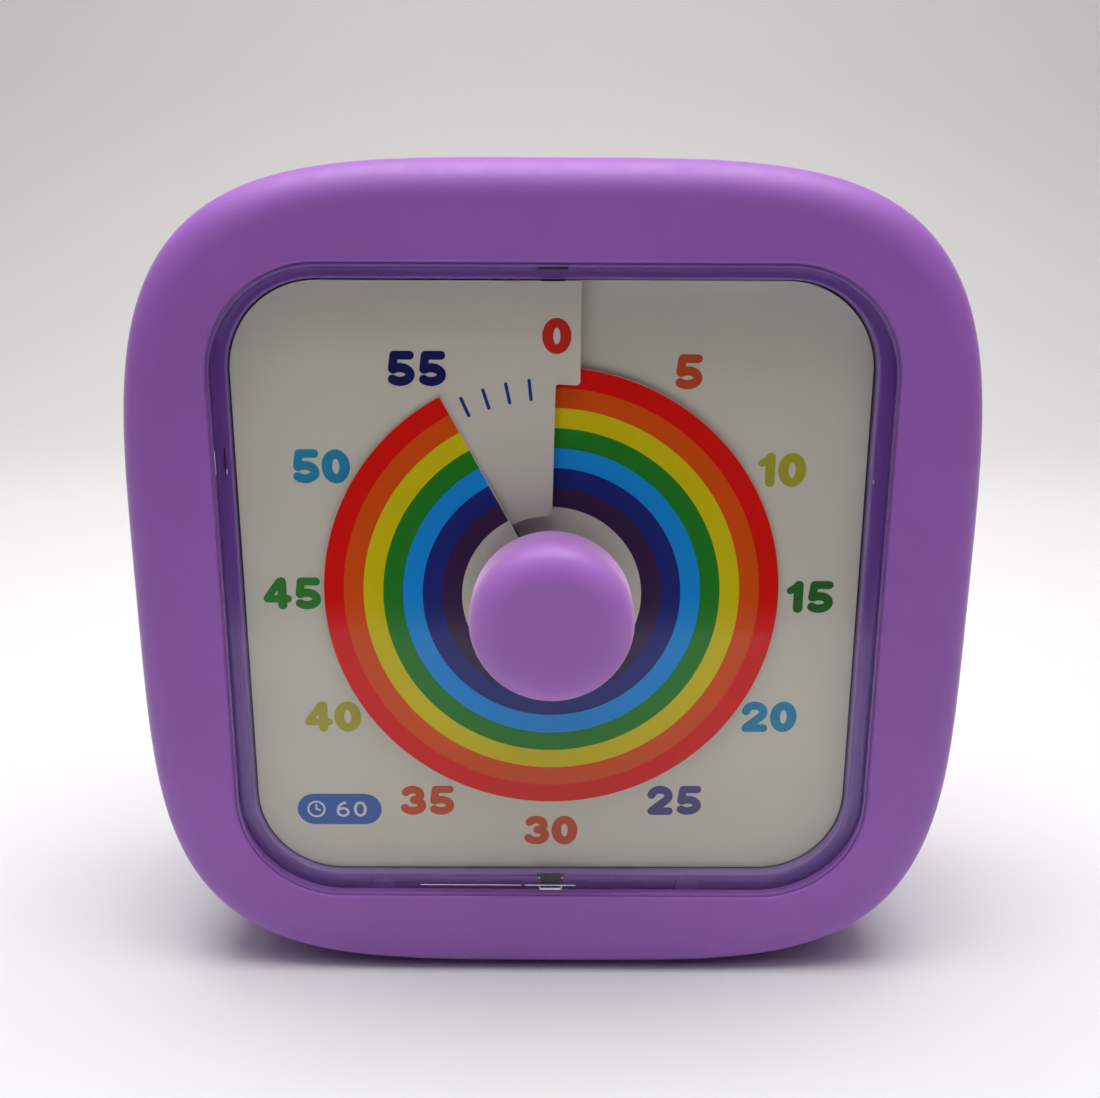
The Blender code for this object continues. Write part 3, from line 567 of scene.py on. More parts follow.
def front_case():
    """Glossy front shell: the band that shows round the card is its flange and window wall."""
    wall, back = CASE_HALF - SHELL, CASE_FRONT + 0.0018
    web, edge, bend, inner_bend, near_dial = 0.0016, 0.0003, 0.0022, 0.001, 0.0001
    window = rounded(WINDOW_HALF, WINDOW_CORNER)
    window_lip = rounded(WINDOW_HALF + edge, WINDOW_CORNER + edge)
    window_outer = rounded(WINDOW_HALF + web, WINDOW_CORNER + web)
    flange = squircle(CASE_HALF - bend)
    rows = [ring(window, depth) for depth in (WINDOW_DEPTH, near_dial, CASE_FRONT + edge * 1.4)]
    rows += corner_rows(window_lip, window, CASE_FRONT, CASE_FRONT + edge, 4, False)
    rows += [ring(between(window_lip, flange, s), CASE_FRONT) for s in (0.06, 0.5)]
    rows += corner_rows(flange, squircle(CASE_HALF), CASE_FRONT, CASE_FRONT + bend, 5)
    rows += [
        ring(squircle(CASE_HALF), CASE_SPLIT),
        ring(squircle(wall), CASE_SPLIT),
        ring(squircle(wall), back + inner_bend),
        ring(squircle(wall - inner_bend), back),
        ring(window_outer, back),
        ring(window_outer, WINDOW_DEPTH),
    ]
    case = loft("window_shell", rows, [FINISHES["purple_plastic"]])
    own(case, "case", "purple_plastic", "front_case")


def clear_lens():
    """Flat clear window with a fine bevel all round and a bore for the spindle."""
    edge, bevel = 0.00028, 0.0005
    outer = rounded(LENS_HALF, LENS_CORNER)
    face = rounded(LENS_HALF - bevel, LENS_CORNER - bevel)
    bore = round_of(LENS_BORE)
    rows = [
        ring(bore, LENS_BACK),
        ring(bore, LENS_FRONT + edge / 2),
        ring(round_of(LENS_BORE + edge / 2), LENS_FRONT),
        ring(between(bore, face, 0.98), LENS_FRONT),
        ring(face, LENS_FRONT),
        ring(outer, LENS_FRONT + edge),
        ring(outer, LENS_BACK - edge),
        ring(face, LENS_BACK),
    ]
    lens = loft("window_lens", rows, [FINISHES["clear_plastic"]], angle=20)
    own(lens, "case", "clear_plastic", "clear_lens")


def mirrored(near, far):
    """A span to the right of the middle and its mirror image."""
    return (near, far), (-far, -near)


def lens_hook():
    """Dark snap hook below the window, with an ear on each side."""
    half, above, below = 0.00118, 0.00035, 0.0009
    hook = [((-half, half), (-CATCH_EDGE - below, -CATCH_EDGE + above), CATCH_SLOT)]
    for ear in mirrored(0.00126, 0.00158):
        hook.append((ear, (-CATCH_EDGE - 0.00005, -CATCH_EDGE + above), CATCH_SLOT))
    piece = blocks("lens_hook", hook, [FINISHES["black_plastic"]], 0.00005)
    own(piece, "case", "black_plastic")


def lens_tab():
    """Dark strips of the top tab, and the strip of the catch at the window's left side."""
    half = 0.00006
    strips = [
        ((-0.0013, 0.0012), (WINDOW_HALF - 0.0002, WINDOW_HALF), CATCH_SLOT),
        ((-0.0016, 0.0015), (WINDOW_HALF + 0.0009, WINDOW_HALF + 0.0012), CATCH_SLOT),
        ((SIDE_CATCH_X - half, SIDE_CATCH_X + half), (SIDE_CATCH_LOW, SIDE_CATCH_HIGH), CATCH_SLOT),
    ]
    piece = blocks("lens_tab", strips, [FINISHES["black_plastic"]], 0.00005)
    own(piece, "case", "black_plastic")


def lens_foot():
    """Pale bars painted as the highlights of the clear hook and lens: the hook's bright foot, a frame
    with two arms and a long line, and small glints at the sides.
    """
    low, high, half = -0.0350, -0.03438, 0.0013
    bars = [
        ((-half, half), (low, low + 0.00023), LENS_FILM),
        ((-0.0012, 0.0012), (high - 0.00008, high), LENS_FILM),
        ((-0.0150, -0.0034), (high - 0.00005, high), LENS_FILM),
    ]
    for dot in mirrored(0.00124, 0.00146):
        bars.append((dot, (-CATCH_EDGE - 0.0003, -CATCH_EDGE - 0.0001), CATCH_SLOT))
    for arm in mirrored(half, 0.0029):
        bars.append((arm, (high - 0.00007, high + 0.00001), LENS_FILM))
    for post in mirrored(half - 0.0001, half):
        bars.append((post, (low, high), LENS_FILM))
    glint = (SIDE_CATCH_X + 0.00007, SIDE_CATCH_X + 0.00018)
    bars.append((glint, (SIDE_CATCH_LOW + 0.00015, SIDE_CATCH_LOW + 0.00065), CATCH_SLOT))
    line = (SIDE_CATCH_X - 0.00061, SIDE_CATCH_X - 0.00057)
    bars.append((line, (SIDE_CATCH_LOW + 0.0004, SIDE_CATCH_HIGH), LENS_FILM))
    tick = (0.03417, 0.03421)
    bars.append((tick, (SIDE_CATCH_LOW - 0.0006, SIDE_CATCH_LOW - 0.0002), CATCH_SLOT))
    # Pale colour of the painted glints and highlights on the clear hook and the lens's edges.
    pale = moulded("clear_foot", (0.80, 0.76, 0.84), 0.12, 900, 0.000004, 0.04)
    own(blocks("lens_foot", bars, [pale], 0.00002), "case", "clear_plastic")


def lens_pips():
    """A round moulding pip on each side of the hook."""
    radius, edge, z = 0.00145, 0.00008, -CATCH_EDGE - 0.0013
    front, back = CATCH_SLOT
    profile = [(radius, back), (radius, front + edge), (radius - edge, front)]
    for side, x in (("left", -0.0196), ("right", 0.016)):
        pip = turned(f"lens_pip_{side}", profile, [FINISHES["purple_plastic"]], 40, x, z)
        own(pip, "case", "purple_plastic")


def lens_bead():
    """Fine moulded line round the front of the lens, which catches the light."""
    half, corner, radius, flatness = LENS_HALF + 0.00012, LENS_CORNER + 0.0002, 0.0001, 0.6
    rows = []
    for a in full_turn(8):
        reach = rounded(half + radius * math.cos(a), corner)
        rows.append(ring(reach, LENS_FRONT + radius * flatness * math.sin(a)))
    bead_mat = moulded("lens_edge", (0.2, 0.1, 0.34), 0.2, 900, 0.000004, 0.05, coat_weight=0.3)
    bead = loft("lens_bead", rows, [bead_mat], angle=80)
    own(bead, "case", "clear_plastic")


# Rear tub, battery lid and slider


def carved(piece, tools, operation="DIFFERENCE"):
    """Cuts the piece with closed tools, or joins them to it; the tools are then gone."""
    for tool in tools:
        change = piece.modifiers.new("Carve", "BOOLEAN")
        change.operation = operation
        change.object = tool
    settle(piece)
    for tool in tools:
        bpy.data.objects.remove(tool)


def softened(piece, width):
    """Rounds every sharp edge."""
    edges = piece.modifiers.new("Edges", "BEVEL")
    edges.width = width
    edges.segments = 3
    edges.limit_method = "ANGLE"
    edges.angle_limit = math.radians(35)
    edges.use_clamp_overlap = True
    settle(piece)
    piece.data.shade_smooth()
    piece.data.set_sharp_from_angle(angle=math.radians(40))
    even = piece.modifiers.new("Even", "WEIGHTED_NORMAL")
    even.weight = 100
    even.keep_sharp = True
    settle(piece)


def settle(piece):
    """The piece's mesh takes the shape that its modifiers give it."""
    graph = bpy.context.evaluated_depsgraph_get()
    piece.data = bpy.data.meshes.new_from_object(piece.evaluated_get(graph))
    piece.modifiers.clear()


def bar(x, z, depth):
    return blocks("tool", [(x, z, depth)], [], 0.00002)


def rod(x, z, radius, depth, count=32):
    return turned("tool", [(radius, depth[0]), (radius, depth[1])], [], count, x, z)


def middle_of(name):
    low, high = (Vector(corner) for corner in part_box(name))
    centre = (low + high) / 2 - AXIS
    return centre.x, centre.z


def grown(span, by):
    return span[0] - by, span[1] + by


def about(middle, half):
    return middle - half, middle + half


def rear_shell():
    """Rear tub: rounded back, battery bay, screw posts, sound holes, slot and finger notch."""
    split, edge, inner_edge = CASE_SPLIT + 0.0003, 0.0035, 0.0022
    inside, inner, past = REAR_FACE - SHELL, CASE_HALF - SHELL, REAR_FACE + 0.002
    outer = squircle(CASE_HALF)
    rows = corner_rows(squircle(inner - inner_edge), squircle(inner), inside, inside - inner_edge, 4)
    rows += [ring(squircle(inner), split), ring(outer, split), ring(outer, REAR_FACE - edge * 1.02)]
    rows += corner_rows(squircle(CASE_HALF - edge), outer, REAR_FACE, REAR_FACE - edge, 8, False)
    shell = loft("rear_shell", rows, [FINISHES["white_plastic"]], wrap=False, caps=True)

    lid_low, lid_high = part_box("battery_door")
    bay_x = grown((lid_low[0], lid_high[0]), 0.0004)
    bay_z = (lid_low[2] - AXIS.z - 0.0005, lid_high[2] - AXIS.z + 0.0004)
    bay_wall, bay_floor = 0.0012, 0.012
    post, pilot, head, head_seat = 0.0026, 0.0013, 0.0024, 0.0243
    screws = [middle_of(f"case_screw_{i}") for i in (1, 2, 3, 4)]
    bay_depth = (bay_floor - bay_wall, inside + 0.001)
    added = [bar(grown(bay_x, bay_wall), grown(bay_z, bay_wall), bay_depth)]
    added += [rod(x, z, post, (split - 0.0002, inside + 0.001)) for x, z in screws]
    carved(shell, added, "UNION")

    wall_inside = 0.026
    slot_x, slot_z = middle_of("switch_slider")
    sound_x, sound_z = middle_of("buzzer")
    ring_radius, hole = 0.005, 0.0009
    holes = [(sound_x, sound_z)]
    for a in full_turn(6):
        holes.append((sound_x + ring_radius * math.cos(a), sound_z + ring_radius * math.sin(a)))
    cuts = [bar(bay_x, bay_z, (bay_floor, past))]
    cuts += [rod(x, z, pilot, (split - 0.001, wall_inside)) for x, z in screws]
    cuts += [rod(x, z, head, (head_seat, past)) for x, z in screws]
    cuts.append(bar(about(slot_x, 0.0018), about(slot_z, 0.0048), (wall_inside, past)))
    cuts += [rod(x, z, hole, (wall_inside, past)) for x, z in holes]
    notch_radius, notch_depth = 0.006, 0.0009
    cuts.append(rod(0, bay_z[1] + 0.001, notch_radius, (REAR_FACE - notch_depth, past), 72))
    carved(shell, cuts)
    softened(shell, 0.00018)
    own(shell, "case", "white_plastic", "rear_case")


def bay_lid():
    """Battery lid: rounded edges, a latch rib inside and three grip grooves."""
    low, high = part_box("battery_door")
    thick, rib_half, groove_half, groove_depth, pitch = 0.0016, 0.012, 0.005, 0.0004, 0.0012
    x, z = (low[0], high[0]), (low[2] - AXIS.z, high[2] - AXIS.z)
    plate = (REAR_FACE - thick, REAR_FACE)
    lid = blocks("bay_lid", [(x, z, plate)], [FINISHES["white_plastic"]], 0.0003)
    rib = (z[1] - 0.0022, z[1] - 0.001)
    rib_depth = (low[1] - AXIS.y, plate[0] + 0.0005)
    carved(lid, [bar((-rib_half, rib_half), rib, rib_depth)], "UNION")
    grooves = []
    for i in range(3):
        across = about(rib[0] - pitch * i, 0.0003)
        depth = (REAR_FACE - groove_depth, REAR_FACE + 0.002)
        grooves.append(bar((-groove_half, groove_half), across, depth))
    carved(lid, grooves)
    softened(lid, 0.00012)
    own(lid, "door", "white_plastic", "battery_door")


def slider_thumb():
    """Black slider with three grooves across its thumb face."""
    low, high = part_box("switch_slider")
    groove_half, groove_depth, pitch = 0.0002, 0.0003, 0.0009
    x, z = (low[0], high[0]), (low[2] - AXIS.z, high[2] - AXIS.z)
    depth = (low[1] - AXIS.y, high[1] - AXIS.y)
    thumb = blocks("slider_thumb", [(x, z, depth)], [FINISHES["black_plastic"]], 0.0003)
    cuts = []
    for i in (-1, 0, 1):
        across = about(sum(z) / 2 + pitch * i, groove_half)
        cuts.append(bar(grown(x, 0.001), across, (depth[1] - groove_depth, depth[1] + 0.001)))
    carved(thumb, cuts)
    softened(thumb, 0.00006)
    own(thumb, "slider", "black_plastic", "switch_slider")


# The card and its print


def helix(angle):
    """Depth of the card's middle at an angle: it climbs one pitch in a turn."""
    return PITCH / 2 - PITCH * angle / (2 * math.pi)


def flap_edge(radius):
    """How far the flap's free edge stands right of 12 o'clock: a tab outside the disc, a straight
    cut over it, and a rounded corner at the bore."""
    if radius >= FLAP_STEP + TAB_CORNER:
        return FLAP_TAB
    if radius >= FLAP_STEP:
        rise = FLAP_STEP + TAB_CORNER - radius
        return FLAP_TAB - TAB_CORNER + math.sqrt(max(0.0, TAB_CORNER**2 - rise**2))
    cut = FLAP_CUT * (radius - CARD_BORE) / (FLAP_STEP - CARD_BORE)
    if radius > FLAP_STEP - NOOK:
        rise = radius - (FLAP_STEP - NOOK)
        return cut + NOOK - math.sqrt(max(0.0, NOOK**2 - rise**2))
    if radius < CARD_BORE + NOSE:
        rise = CARD_BORE + NOSE - radius
        return cut - NOSE + math.sqrt(max(0.0, NOSE**2 - rise**2))
    return cut


def card_radii():
    """Radii of the card's round rows, close together at the flap's corners."""
    bends = [0, 0.05, 0.15, 0.3, 0.5, 0.75, 1.0]
    radii = [CARD_BORE + NOSE * b for b in bends]
    radii += [0.012, 0.016, 0.020]
    radii += [FLAP_STEP - NOOK * b for b in bends[::-1]]
    radii[-1] -= 0.00001
    radii += [FLAP_STEP + TAB_CORNER * b for b in bends]
    return radii + [0.0245]


def thin_sheet(name, rows, depth_of, materials, indices, rim):
    """A thin card from rows of (x, z, angle), one material to each row of faces and one for its rim."""
    shape = bmesh.new()
    grid = []
    for row in rows:
        points = [at(x, z, depth_of(angle, math.hypot(x, z))) for x, z, angle in row]
        grid.append([shape.verts.new(point) for point in points])
    for near, far, index in zip(grid, grid[1:], indices):
        for i in range(len(near) - 1):
            face = shape.faces.new((near[i], near[i + 1], far[i + 1], far[i]))
            face.material_index = index
    piece = finish_mesh(name, shape, materials, 60)
    thick = piece.modifiers.new("Thickness", "SOLIDIFY")
    thick.thickness = SHEET
    thick.offset = 0
    thick.use_even_offset = False
    thick.material_offset_rim = rim
    settle(piece)
    piece.data.set_sharp_from_angle(angle=math.radians(32))
    return piece


# Cut edge of a sheet, paler than the card's face: partly the sheet's white core, partly a painted
# highlight along the edge.
def cut_edge():
    return moulded("cut_card", (0.93, 0.92, 0.90), 0.6, 5200, 0.000004, 0.02)


def eased(value, start, stop):
    """A smooth step that climbs from 0 at start to 1 at stop."""
    share = min(1.0, max(0.0, (value - start) / (stop - start)))
    return share * share * (3 - 2 * share)


def curled(angle, radius):
    """Depth of the card: on the helix, with the flap's free corner a little forward at the bore."""
    near_end = eased(angle, 2 * math.pi - 0.5, 2 * math.pi)
    near_bore = eased(radius, 0.0185, 0.010)
    return helix(angle) - FLAP_CURL * near_end * near_bore


def dial_card():
    """Square card, one turn of a helicoid from its slit round to the flap that lies over the disc."""
    columns = 360
    border = rounded(CARD_HALF, WINDOW_CORNER - WINDOW_GAP)
    outlines = [(radius, 0) for radius in card_radii()]
    outlines += [(card_radii()[-1], share) for share in (0.3, 0.65, 1)]
    rows = []
    for radius, share in outlines:
        near_top = radius + (CARD_HALF - radius) * share
        first = math.asin(CARD_SLIT / near_top)
        last = 2 * math.pi + math.asin(flap_edge(near_top) / near_top)
        row = []
        for i in range(columns + 1):
            a = first + (last - first) * i / columns
            r = radius + (border(math.pi / 2 - a) - radius) * share
            row.append((r * math.sin(a), r * math.cos(a), a))
        rows.append(row)
    materials = [FINISHES["white_card"], cut_edge()]
    card = thin_sheet("printed_card", rows, curled, materials, [0] * len(rows), 1)
    own(card, "case", "white_card", "dial_plate")


def arc(x, z, across, up, start, stop, steps=18):
    """Points on an ellipse from one angle to another, in degrees from +x, counter-clockwise."""
    angles = [math.radians(start + (stop - start) * i / steps) for i in range(steps + 1)]
    return [(x + across * math.cos(a), z + up * math.sin(a)) for a in angles]


# Each digit in a box one unit high: its width, its round bands and its pen strokes. A band is the
# middle of an ellipse, its two half sizes, and half its thickness at the sides and at the ends.
GLYPHS = {
    "0": (0.78, [((0.39, 0.5), (0.245, 0.375), (0.14, 0.125))], []),
    "1": (0.48, [], [([(0.09, 0.70), (0.31, 0.865)], 0.1), ([(0.325, 0.87), (0.325, 0.13)], 0.13)]),
    "2": (
        0.78,
        [],
        [
            (arc(0.385, 0.66, 0.255, 0.22, 172, -42) + [(0.17, 0.15)], 0.12),
            ([(0.14, 0.115), (0.66, 0.115)], 0.115),
        ],
    ),
    "3": (
        0.76,
        [],
        [
            (arc(0.365, 0.695, 0.225, 0.185, 152, -80), 0.12),
            (arc(0.365, 0.32, 0.27, 0.2, 80, -152), 0.12),
        ],
    ),
    "4": (
        0.8,
        [],
        [
            ([(0.47, 0.88), (0.12, 0.36)], 0.1),
            ([(0.115, 0.325), (0.70, 0.325)], 0.105),
            ([(0.54, 0.875), (0.54, 0.125)], 0.125),
        ],
    ),
    "5": (
        0.78,
        [],
        [
            ([(0.23, 0.885), (0.65, 0.885)], 0.112),
            ([(0.225, 0.875), (0.175, 0.485)], 0.11),
            (arc(0.375, 0.325, 0.28, 0.202, 128, -136), 0.118),
        ],
    ),
    "6": (
        0.78,
        [((0.39, 0.33), (0.255, 0.215), (0.13, 0.12))],
        [(arc(0.56, 0.40, 0.425, 0.475, 187, 98), 0.12)],
    ),
}


def tip(before, end, half):
    """Pairs of points that draw the end of a pen stroke in to a round tip."""
    onward = (end - before).normalized() * half
    side = Vector((-onward.y, onward.x))
    steps, last = 5, math.radians(84)
    made = []
    for i in range(1, steps + 1):
        a = last * i / steps
        middle = end + onward * math.sin(a)
        made.append((middle + side * math.cos(a), middle - side * math.cos(a)))
    return made


def pen_pairs(points, half):
    """Pairs of points along the two sides of a pen stroke with round tips."""
    path = [Vector(p) for p in points]
    start = [(right, left) for left, right in tip(path[1], path[0], half)[::-1]]
    made = []
    for i, here in enumerate(path):
        before, after = path[max(i - 1, 0)], path[min(i + 1, len(path) - 1)]
        onward = (after - before).normalized() * half
        side = Vector((-onward.y, onward.x))
        made.append((here + side, here - side))
    return start + made + tip(path[-2], path[-1], half)


def band_pairs(centre, middle, half, steps=44):
    """Pairs of points on the outer and the inner edge of an elliptical band."""
    (x, z), (across, up), (side, end) = centre, middle, half
    outer = arc(x, z, across + side, up + end, 0, 360, steps)[:-1]
    inner = arc(x, z, across - side, up - end, 0, 360, steps)[:-1]
    return list(zip(outer, inner))


def ink_point(place, lift):
    """A point over the card; a number over 12 o'clock runs on across the flap's tab."""
    x, z = place
    angle = math.atan2(x, z) % (2 * math.pi)
    if z > NUMBER_RING - NUMBER_HEIGHT and 0 <= x < FLAP_TAB:
        angle += 2 * math.pi
    return at(x, z, helix(angle) - SHEET / 2 - lift)


def ink_strip(shape, pairs, layer=0, index=0, closed=False):
    """A thin slab of ink on the card between pairs of points; later layers lie over earlier ones."""
    low, high = -INK, INK * (1 + 0.5 * layer)
    rows = [
        [ink_point(a, low), ink_point(a, high), ink_point(b, high), ink_point(b, low)]
        for a, b in pairs
    ]
    skin(shape, rows, closed, not closed, index)


def ink_text(shape, text, x, z, height, weight=1.0, layer=0, index=0):
    """Digits centred on a point of the card; weight scales the thickness of their strokes."""
    wide = height * DIGIT_STRETCH
    gap = DIGIT_GAP * height
    pen = x - (sum(GLYPHS[c][0] * wide + gap for c in text) - gap) / 2
    foot = z - height / 2
    for c in text:
        width, bands, strokes = GLYPHS[c]
        for (u, v), (across, up), half in bands:
            centre, middle = (pen + u * wide, foot + v * height), (across * wide, up * height)
            halves = [h * height * weight for h in half]
            ink_strip(shape, band_pairs(centre, middle, halves), layer, index, True)
        for order, (points, half) in enumerate(strokes):
            placed = [(pen + u * wide, foot + v * height) for u, v in points]
            pairs = pen_pairs(placed, half * height * weight)
            ink_strip(shape, pairs, layer + order + len(bands), index)
        pen += width * wide + gap


def numbers():
    """The minutes round the card, one colour each."""
    for i, ink in enumerate(NUMBER_INKS):
        minute = 5 * i
        angle = 2 * math.pi * i / len(NUMBER_INKS)
        x = NUMBER_RING * math.sin(angle) + (ZERO_SHIFT if i == 0 else 0)
        z = NUMBER_RING * math.cos(angle) - (LOW_NUMBER_DROP if i < LOW_NUMBERS else 0)
        shape = bmesh.new()
        ink_text(shape, str(minute), x, z, NUMBER_HEIGHT, NUMBER_WEIGHT)
        number = finish_mesh(f"number_{minute:02d}", shape, [printed(f"ink_{minute}", INKS[ink])])
        own(number, "case", "white_card")


def minute_ticks():
    """A short blue tick at each minute between the numbers, most of them under the disc."""
    shape = bmesh.new()
    for minute in range(60):
        if minute % 5 == 0:
            continue
        a = 2 * math.pi * minute / 60
        ends = [(r * math.sin(a), r * math.cos(a)) for r in (TICK_INNER, TICK_OUTER)]
        ink_strip(shape, pen_pairs(ends, TICK_WIDTH / 2))
    ticks = finish_mesh("minute_ticks", shape, [printed("ink_tick", INKS["tick_blue"])])
    own(ticks, "case", "white_card")


def badge():
    """A blue pill low on the card with a small clock face and the full hour in minutes."""
    x, z, half_length, half_height = -0.0246, -0.0264, 0.0049, 0.00195
    rim_radius, rim_half, hand_half = 0.00095, 0.00011, 0.0001
    text_height, text_weight = 0.0022, 0.55
    shape = bmesh.new()
    ends = [(x - half_length + half_height, z), (x + half_length - half_height, z)]
    ink_strip(shape, pen_pairs(ends, half_height))
    clock = (x - 0.0027, z)
    rim = band_pairs(clock, (rim_radius, rim_radius), (rim_half, rim_half), 28)
    ink_strip(shape, rim, 1, 1, True)
    hands = [(clock[0], z + 0.00055), (clock[0] + 0.0004, z - 0.00012)]
    for layer, end in enumerate(hands, 2):
        ink_strip(shape, pen_pairs([clock, end], hand_half), layer, 1)
    ink_text(shape, "60", x + 0.0014, z, text_height, text_weight, 1, 1)
    inks = [printed("ink_badge", INKS["badge_blue"]), printed("ink_pale", INKS["badge_white"])]
    own(finish_mesh("hour_badge", shape, inks), "case", "white_card")


# The disc and the knob


def settled(angle, radius):
    """Depth of the disc: one thickness in front of the card, and down on it along the leading cut."""
    near_cut = eased(angle, DISC_LEAD - 0.6, DISC_LEAD)
    near_rim = eased(radius, 0.012, 0.018)
    return helix(angle) - PITCH / 2 + DISC_SAG * near_cut * near_rim


def rainbow_disc():
    """Seven printed bands round a white centre on one helicoid sheet, cut once from rim to hub."""
    columns = 300
    first = DISC_LEAD - 2 * math.pi + DISC_CUT_ANGLE
    band = (DISC_RADIUS - WHITE_CENTRE) / BAND_COUNT
    radii = [DISC_BORE] + [WHITE_CENTRE + band * i for i in range(BAND_COUNT + 1)]
    angles = [first + (DISC_LEAD - first) * i / columns for i in range(columns + 1)]
    rows = [[(r * math.sin(a), r * math.cos(a), a) for a in angles] for r in radii]
    inks = [printed(f"band_{name}", colour) for name, colour in BAND_COLOURS.items()]
    materials = inks + [FINISHES["white_card"], cut_edge()]
    indices = [BAND_COUNT] + list(range(BAND_COUNT))
    disc = thin_sheet("banded_disc", rows, settled, materials, indices, BAND_COUNT + 1)
    own(disc, "disc", "printed_disc", "rainbow_disc")


def knob():
    """Hollow knob: dished face, broad soft edge, straight side and a bored stem."""
    radius, across, back = KNOB_RADIUS * KNOB_SWELL, 0.0036, 0.0030
    face, steps, bevel = radius - across, 18, 0.0003
    hollow, stem, bore = KNOB_FRONT + 0.0018, 0.0029, 0.0018
    dish = [(0.0004, 0.0003), (0.0025, 0.00024), (face - 0.001, 0.00006), (face - 0.0003, 0.00001)]
    profile = [(r, KNOB_FRONT + depth) for r, depth in dish]
    for i in range(steps + 1):
        a = math.pi / 2 * i / steps
        profile.append((face + across * math.sin(a), KNOB_FRONT + back * (1 - math.cos(a))))
    profile += [
        (radius, KNOB_FRONT + back + 0.0003),
        (radius, KNOB_RIM - 0.0005),
        (radius - 0.00008, KNOB_RIM - 0.0001),
        (radius - bevel, KNOB_RIM),
        (radius - 0.0016, KNOB_RIM),
        (radius - 0.0018, KNOB_FRONT + 0.0042),
        (radius - 0.0034, hollow + 0.0006),
        (radius - 0.0042, hollow),
        (stem, hollow),
        (stem, KNOB_REAR),
        (bore, KNOB_REAR),
        (bore, hollow + 0.001),
    ]
    piece = turned("round_knob", profile, [FINISHES["lilac_plastic"]], 128)
    own(piece, "knob_set", "lilac_plastic", "knob")


# Finishes of the CAD parts that show as they are


def dress_cad():
    """Every CAD part takes the finish named by its slot."""
    for entry in frame["record"]["subparts"]:
        mat = FINISHES.get(entry["material_slot"])
        if mat:
            cad = frame["nodes"][entry["node"]]
            cad.data.materials.clear()
            cad.data.materials.append(mat)


# Stage, light and camera


def stage_sweep():
    """Pale table that curves up into a backdrop behind the object; its colour is painted shade darker
    towards the front, and turns paler and warmer up the backdrop.
    """
    half_width, front, bend, radius, height, steps = 1.2, -0.55, 0.32, 0.15, 0.9, 24
    profile = [(front, 0.0), (bend, 0.0)]
    for i in range(1, steps + 1):
        a = math.pi / 2 * i / steps
        profile.append((bend + radius * math.sin(a), radius * (1 - math.cos(a))))
    profile.append((bend + radius, height))
    shape = bmesh.new()
    left = [shape.verts.new((-half_width, y, z)) for y, z in profile]
    right = [shape.verts.new((half_width, y, z)) for y, z in profile]
    for i in range(len(profile) - 1):
        shape.faces.new((left[i], right[i], right[i + 1], left[i + 1]))
    # Near colour: painted shade on the front of the table. High colour: paler and warmer up the
    # backdrop.
    near, far, high = (0.65, 0.663, 0.69), (0.90, 0.90, 0.90), (0.94, 0.88, 0.86)
    mat = moulded("pale_table", far, 0.6, 900, 0.00001, 0.01, cloud=12)
    floor = mixed_colour(mat, ramp(mat, along(mat, "Y"), -0.18, 0.22, 0, 1), near, far)
    climb = ramp(mat, along(mat, "Z"), 0.0, 0.35, 0, 1)
    shader = mat.node_tree.nodes["Principled BSDF"]
    link(mat, mixed_colour(mat, climb, floor, high), shader.inputs["Base Color"])
    finish_mesh("pale_sweep", shape, [mat])


def stage_flag():
    """Dark upright card in front of the table. It shows only as a reflection in the lens."""
    y, half_width, height, pale_foot = -0.132, 0.4, 0.5, 0.007
    dark, pale = (0.05, 0.046, 0.048), (0.6, 0.6, 0.6)
    shape = bmesh.new()
    corners = [(-half_width, 0), (half_width, 0), (half_width, height), (-half_width, height)]
    shape.faces.new([shape.verts.new((x, y, z)) for x, z in corners])
    mat = moulded("flag_grey", dark, 0.8, 300, 0.00001, 0.05, cloud=8)
    shader = mat.node_tree.nodes["Principled BSDF"]
    climb = ramp(mat, along(mat, "Z"), 0.0, pale_foot, 0, 1)
    link(mat, mixed_colour(mat, climb, pale, dark), shader.inputs["Base Color"])
    flag = finish_mesh("dark_flag", shape, [mat])
    flag.visible_camera = False
    flag.visible_shadow = False
    flag.visible_diffuse = False


def area_light(name, place, target, size, power, colour, spread=180):
    data = bpy.data.lights.new(name, "AREA")
    data.shape = "RECTANGLE"
    data.size, data.size_y = size
    data.energy = power
    data.color = colour
    data.spread = math.radians(spread)
    lamp = bpy.data.objects.new(name, data)
    lamp.location = place
    aim = Vector(target) - Vector(place)
    lamp.rotation_mode = "QUATERNION"
    lamp.rotation_quaternion = aim.to_track_quat("-Z", "Y")
    bpy.context.scene.collection.objects.link(lamp)


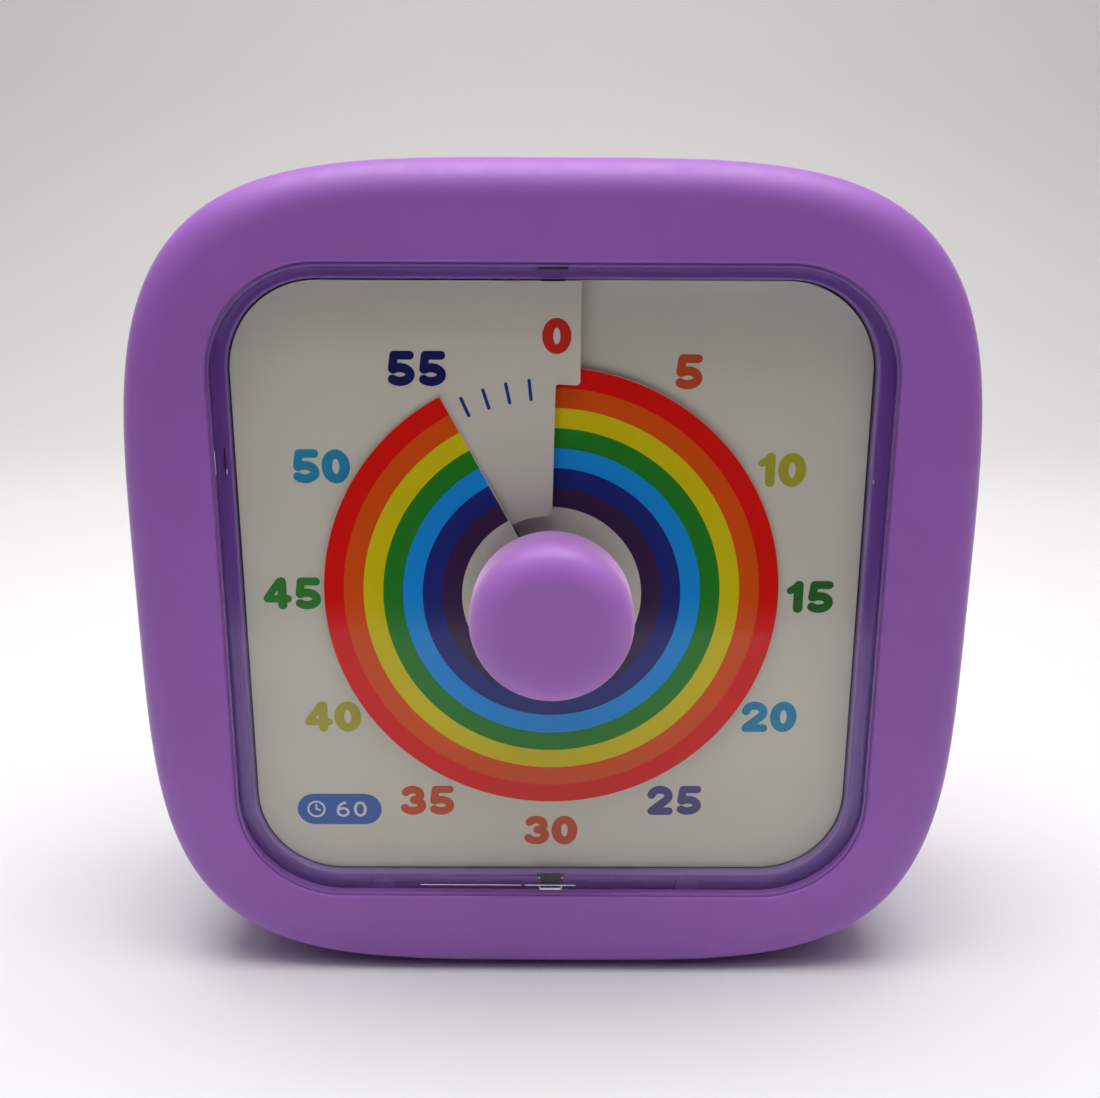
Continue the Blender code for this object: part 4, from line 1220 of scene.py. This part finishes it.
def lights():
    """A broad ceiling light, a smaller one close over the object, and a weak one on each side."""
    area_light("ceiling", (0, 0, 1.5), (0, 0, 0), (2.4, 2.2), 15.5, (1, 0.985, 0.98))
    over, below = (0, -0.02, 0.46), (0, -0.02, 0)
    area_light("overhead", over, below, (0.44, 0.3), 1.85, (1, 0.985, 0.975), spread=160)
    for side, power in ((-1, 0.15), (1, 0.09)):
        beside, middle = (side * 0.6, -0.05, 0.32), (0, -0.05, 0.10)
        area_light("side", beside, middle, (0.9, 0.5), power, (1, 0.98, 0.985))


def room():
    """Dim room light, and pale walls where the view looks past the table."""
    world = bpy.data.worlds.new("soft_room")
    world.use_nodes = True
    tree = world.node_tree
    dim = tree.nodes["Background"]
    dim.inputs["Color"].default_value = (0.92, 0.86, 0.90, 1)
    dim.inputs["Strength"].default_value = 0.04
    wall = tree.nodes.new("ShaderNodeBackground")
    wall.inputs["Color"].default_value = (0.62, 0.62, 0.63, 1)
    ray = tree.nodes.new("ShaderNodeLightPath")
    either = tree.nodes.new("ShaderNodeMixShader")
    tree.links.new(ray.outputs["Is Camera Ray"], either.inputs[0])
    tree.links.new(dim.outputs[0], either.inputs[1])
    tree.links.new(wall.outputs[0], either.inputs[2])
    tree.links.new(either.outputs[0], tree.nodes["World Output"].inputs["Surface"])
    bpy.context.scene.world = world
    bpy.context.scene.view_settings.view_transform = "Standard"


def camera():
    """Eye a little above the dial, looking slightly down on it."""
    from_dial = Vector((0.0, -0.1278, 0.0408))
    pitch, yaw, roll = math.radians(-15.62), math.radians(0.10), math.radians(0.23)
    data = bpy.data.cameras.new("view")
    data.lens = 39.57
    data.sensor_width = 36.0
    data.clip_start = 0.005
    eye = bpy.data.objects.new("view", data)
    turn = Matrix.Rotation(yaw, 4, "Z") @ Matrix.Rotation(math.pi / 2 + pitch, 4, "X")
    turn = turn @ Matrix.Rotation(roll, 4, "Z")
    eye.matrix_world = Matrix.Translation(AXIS + from_dial) @ turn
    bpy.context.scene.collection.objects.link(eye)
    bpy.context.scene.camera = eye


dress_cad()
silicone_cover()
front_case()
clear_lens()
lens_hook()
lens_tab()
lens_foot()
lens_pips()
lens_bead()
rear_shell()
bay_lid()
slider_thumb()
dial_card()
numbers()
minute_ticks()
badge()
rainbow_disc()
knob()
stage_sweep()
stage_flag()
lights()
room()
camera()
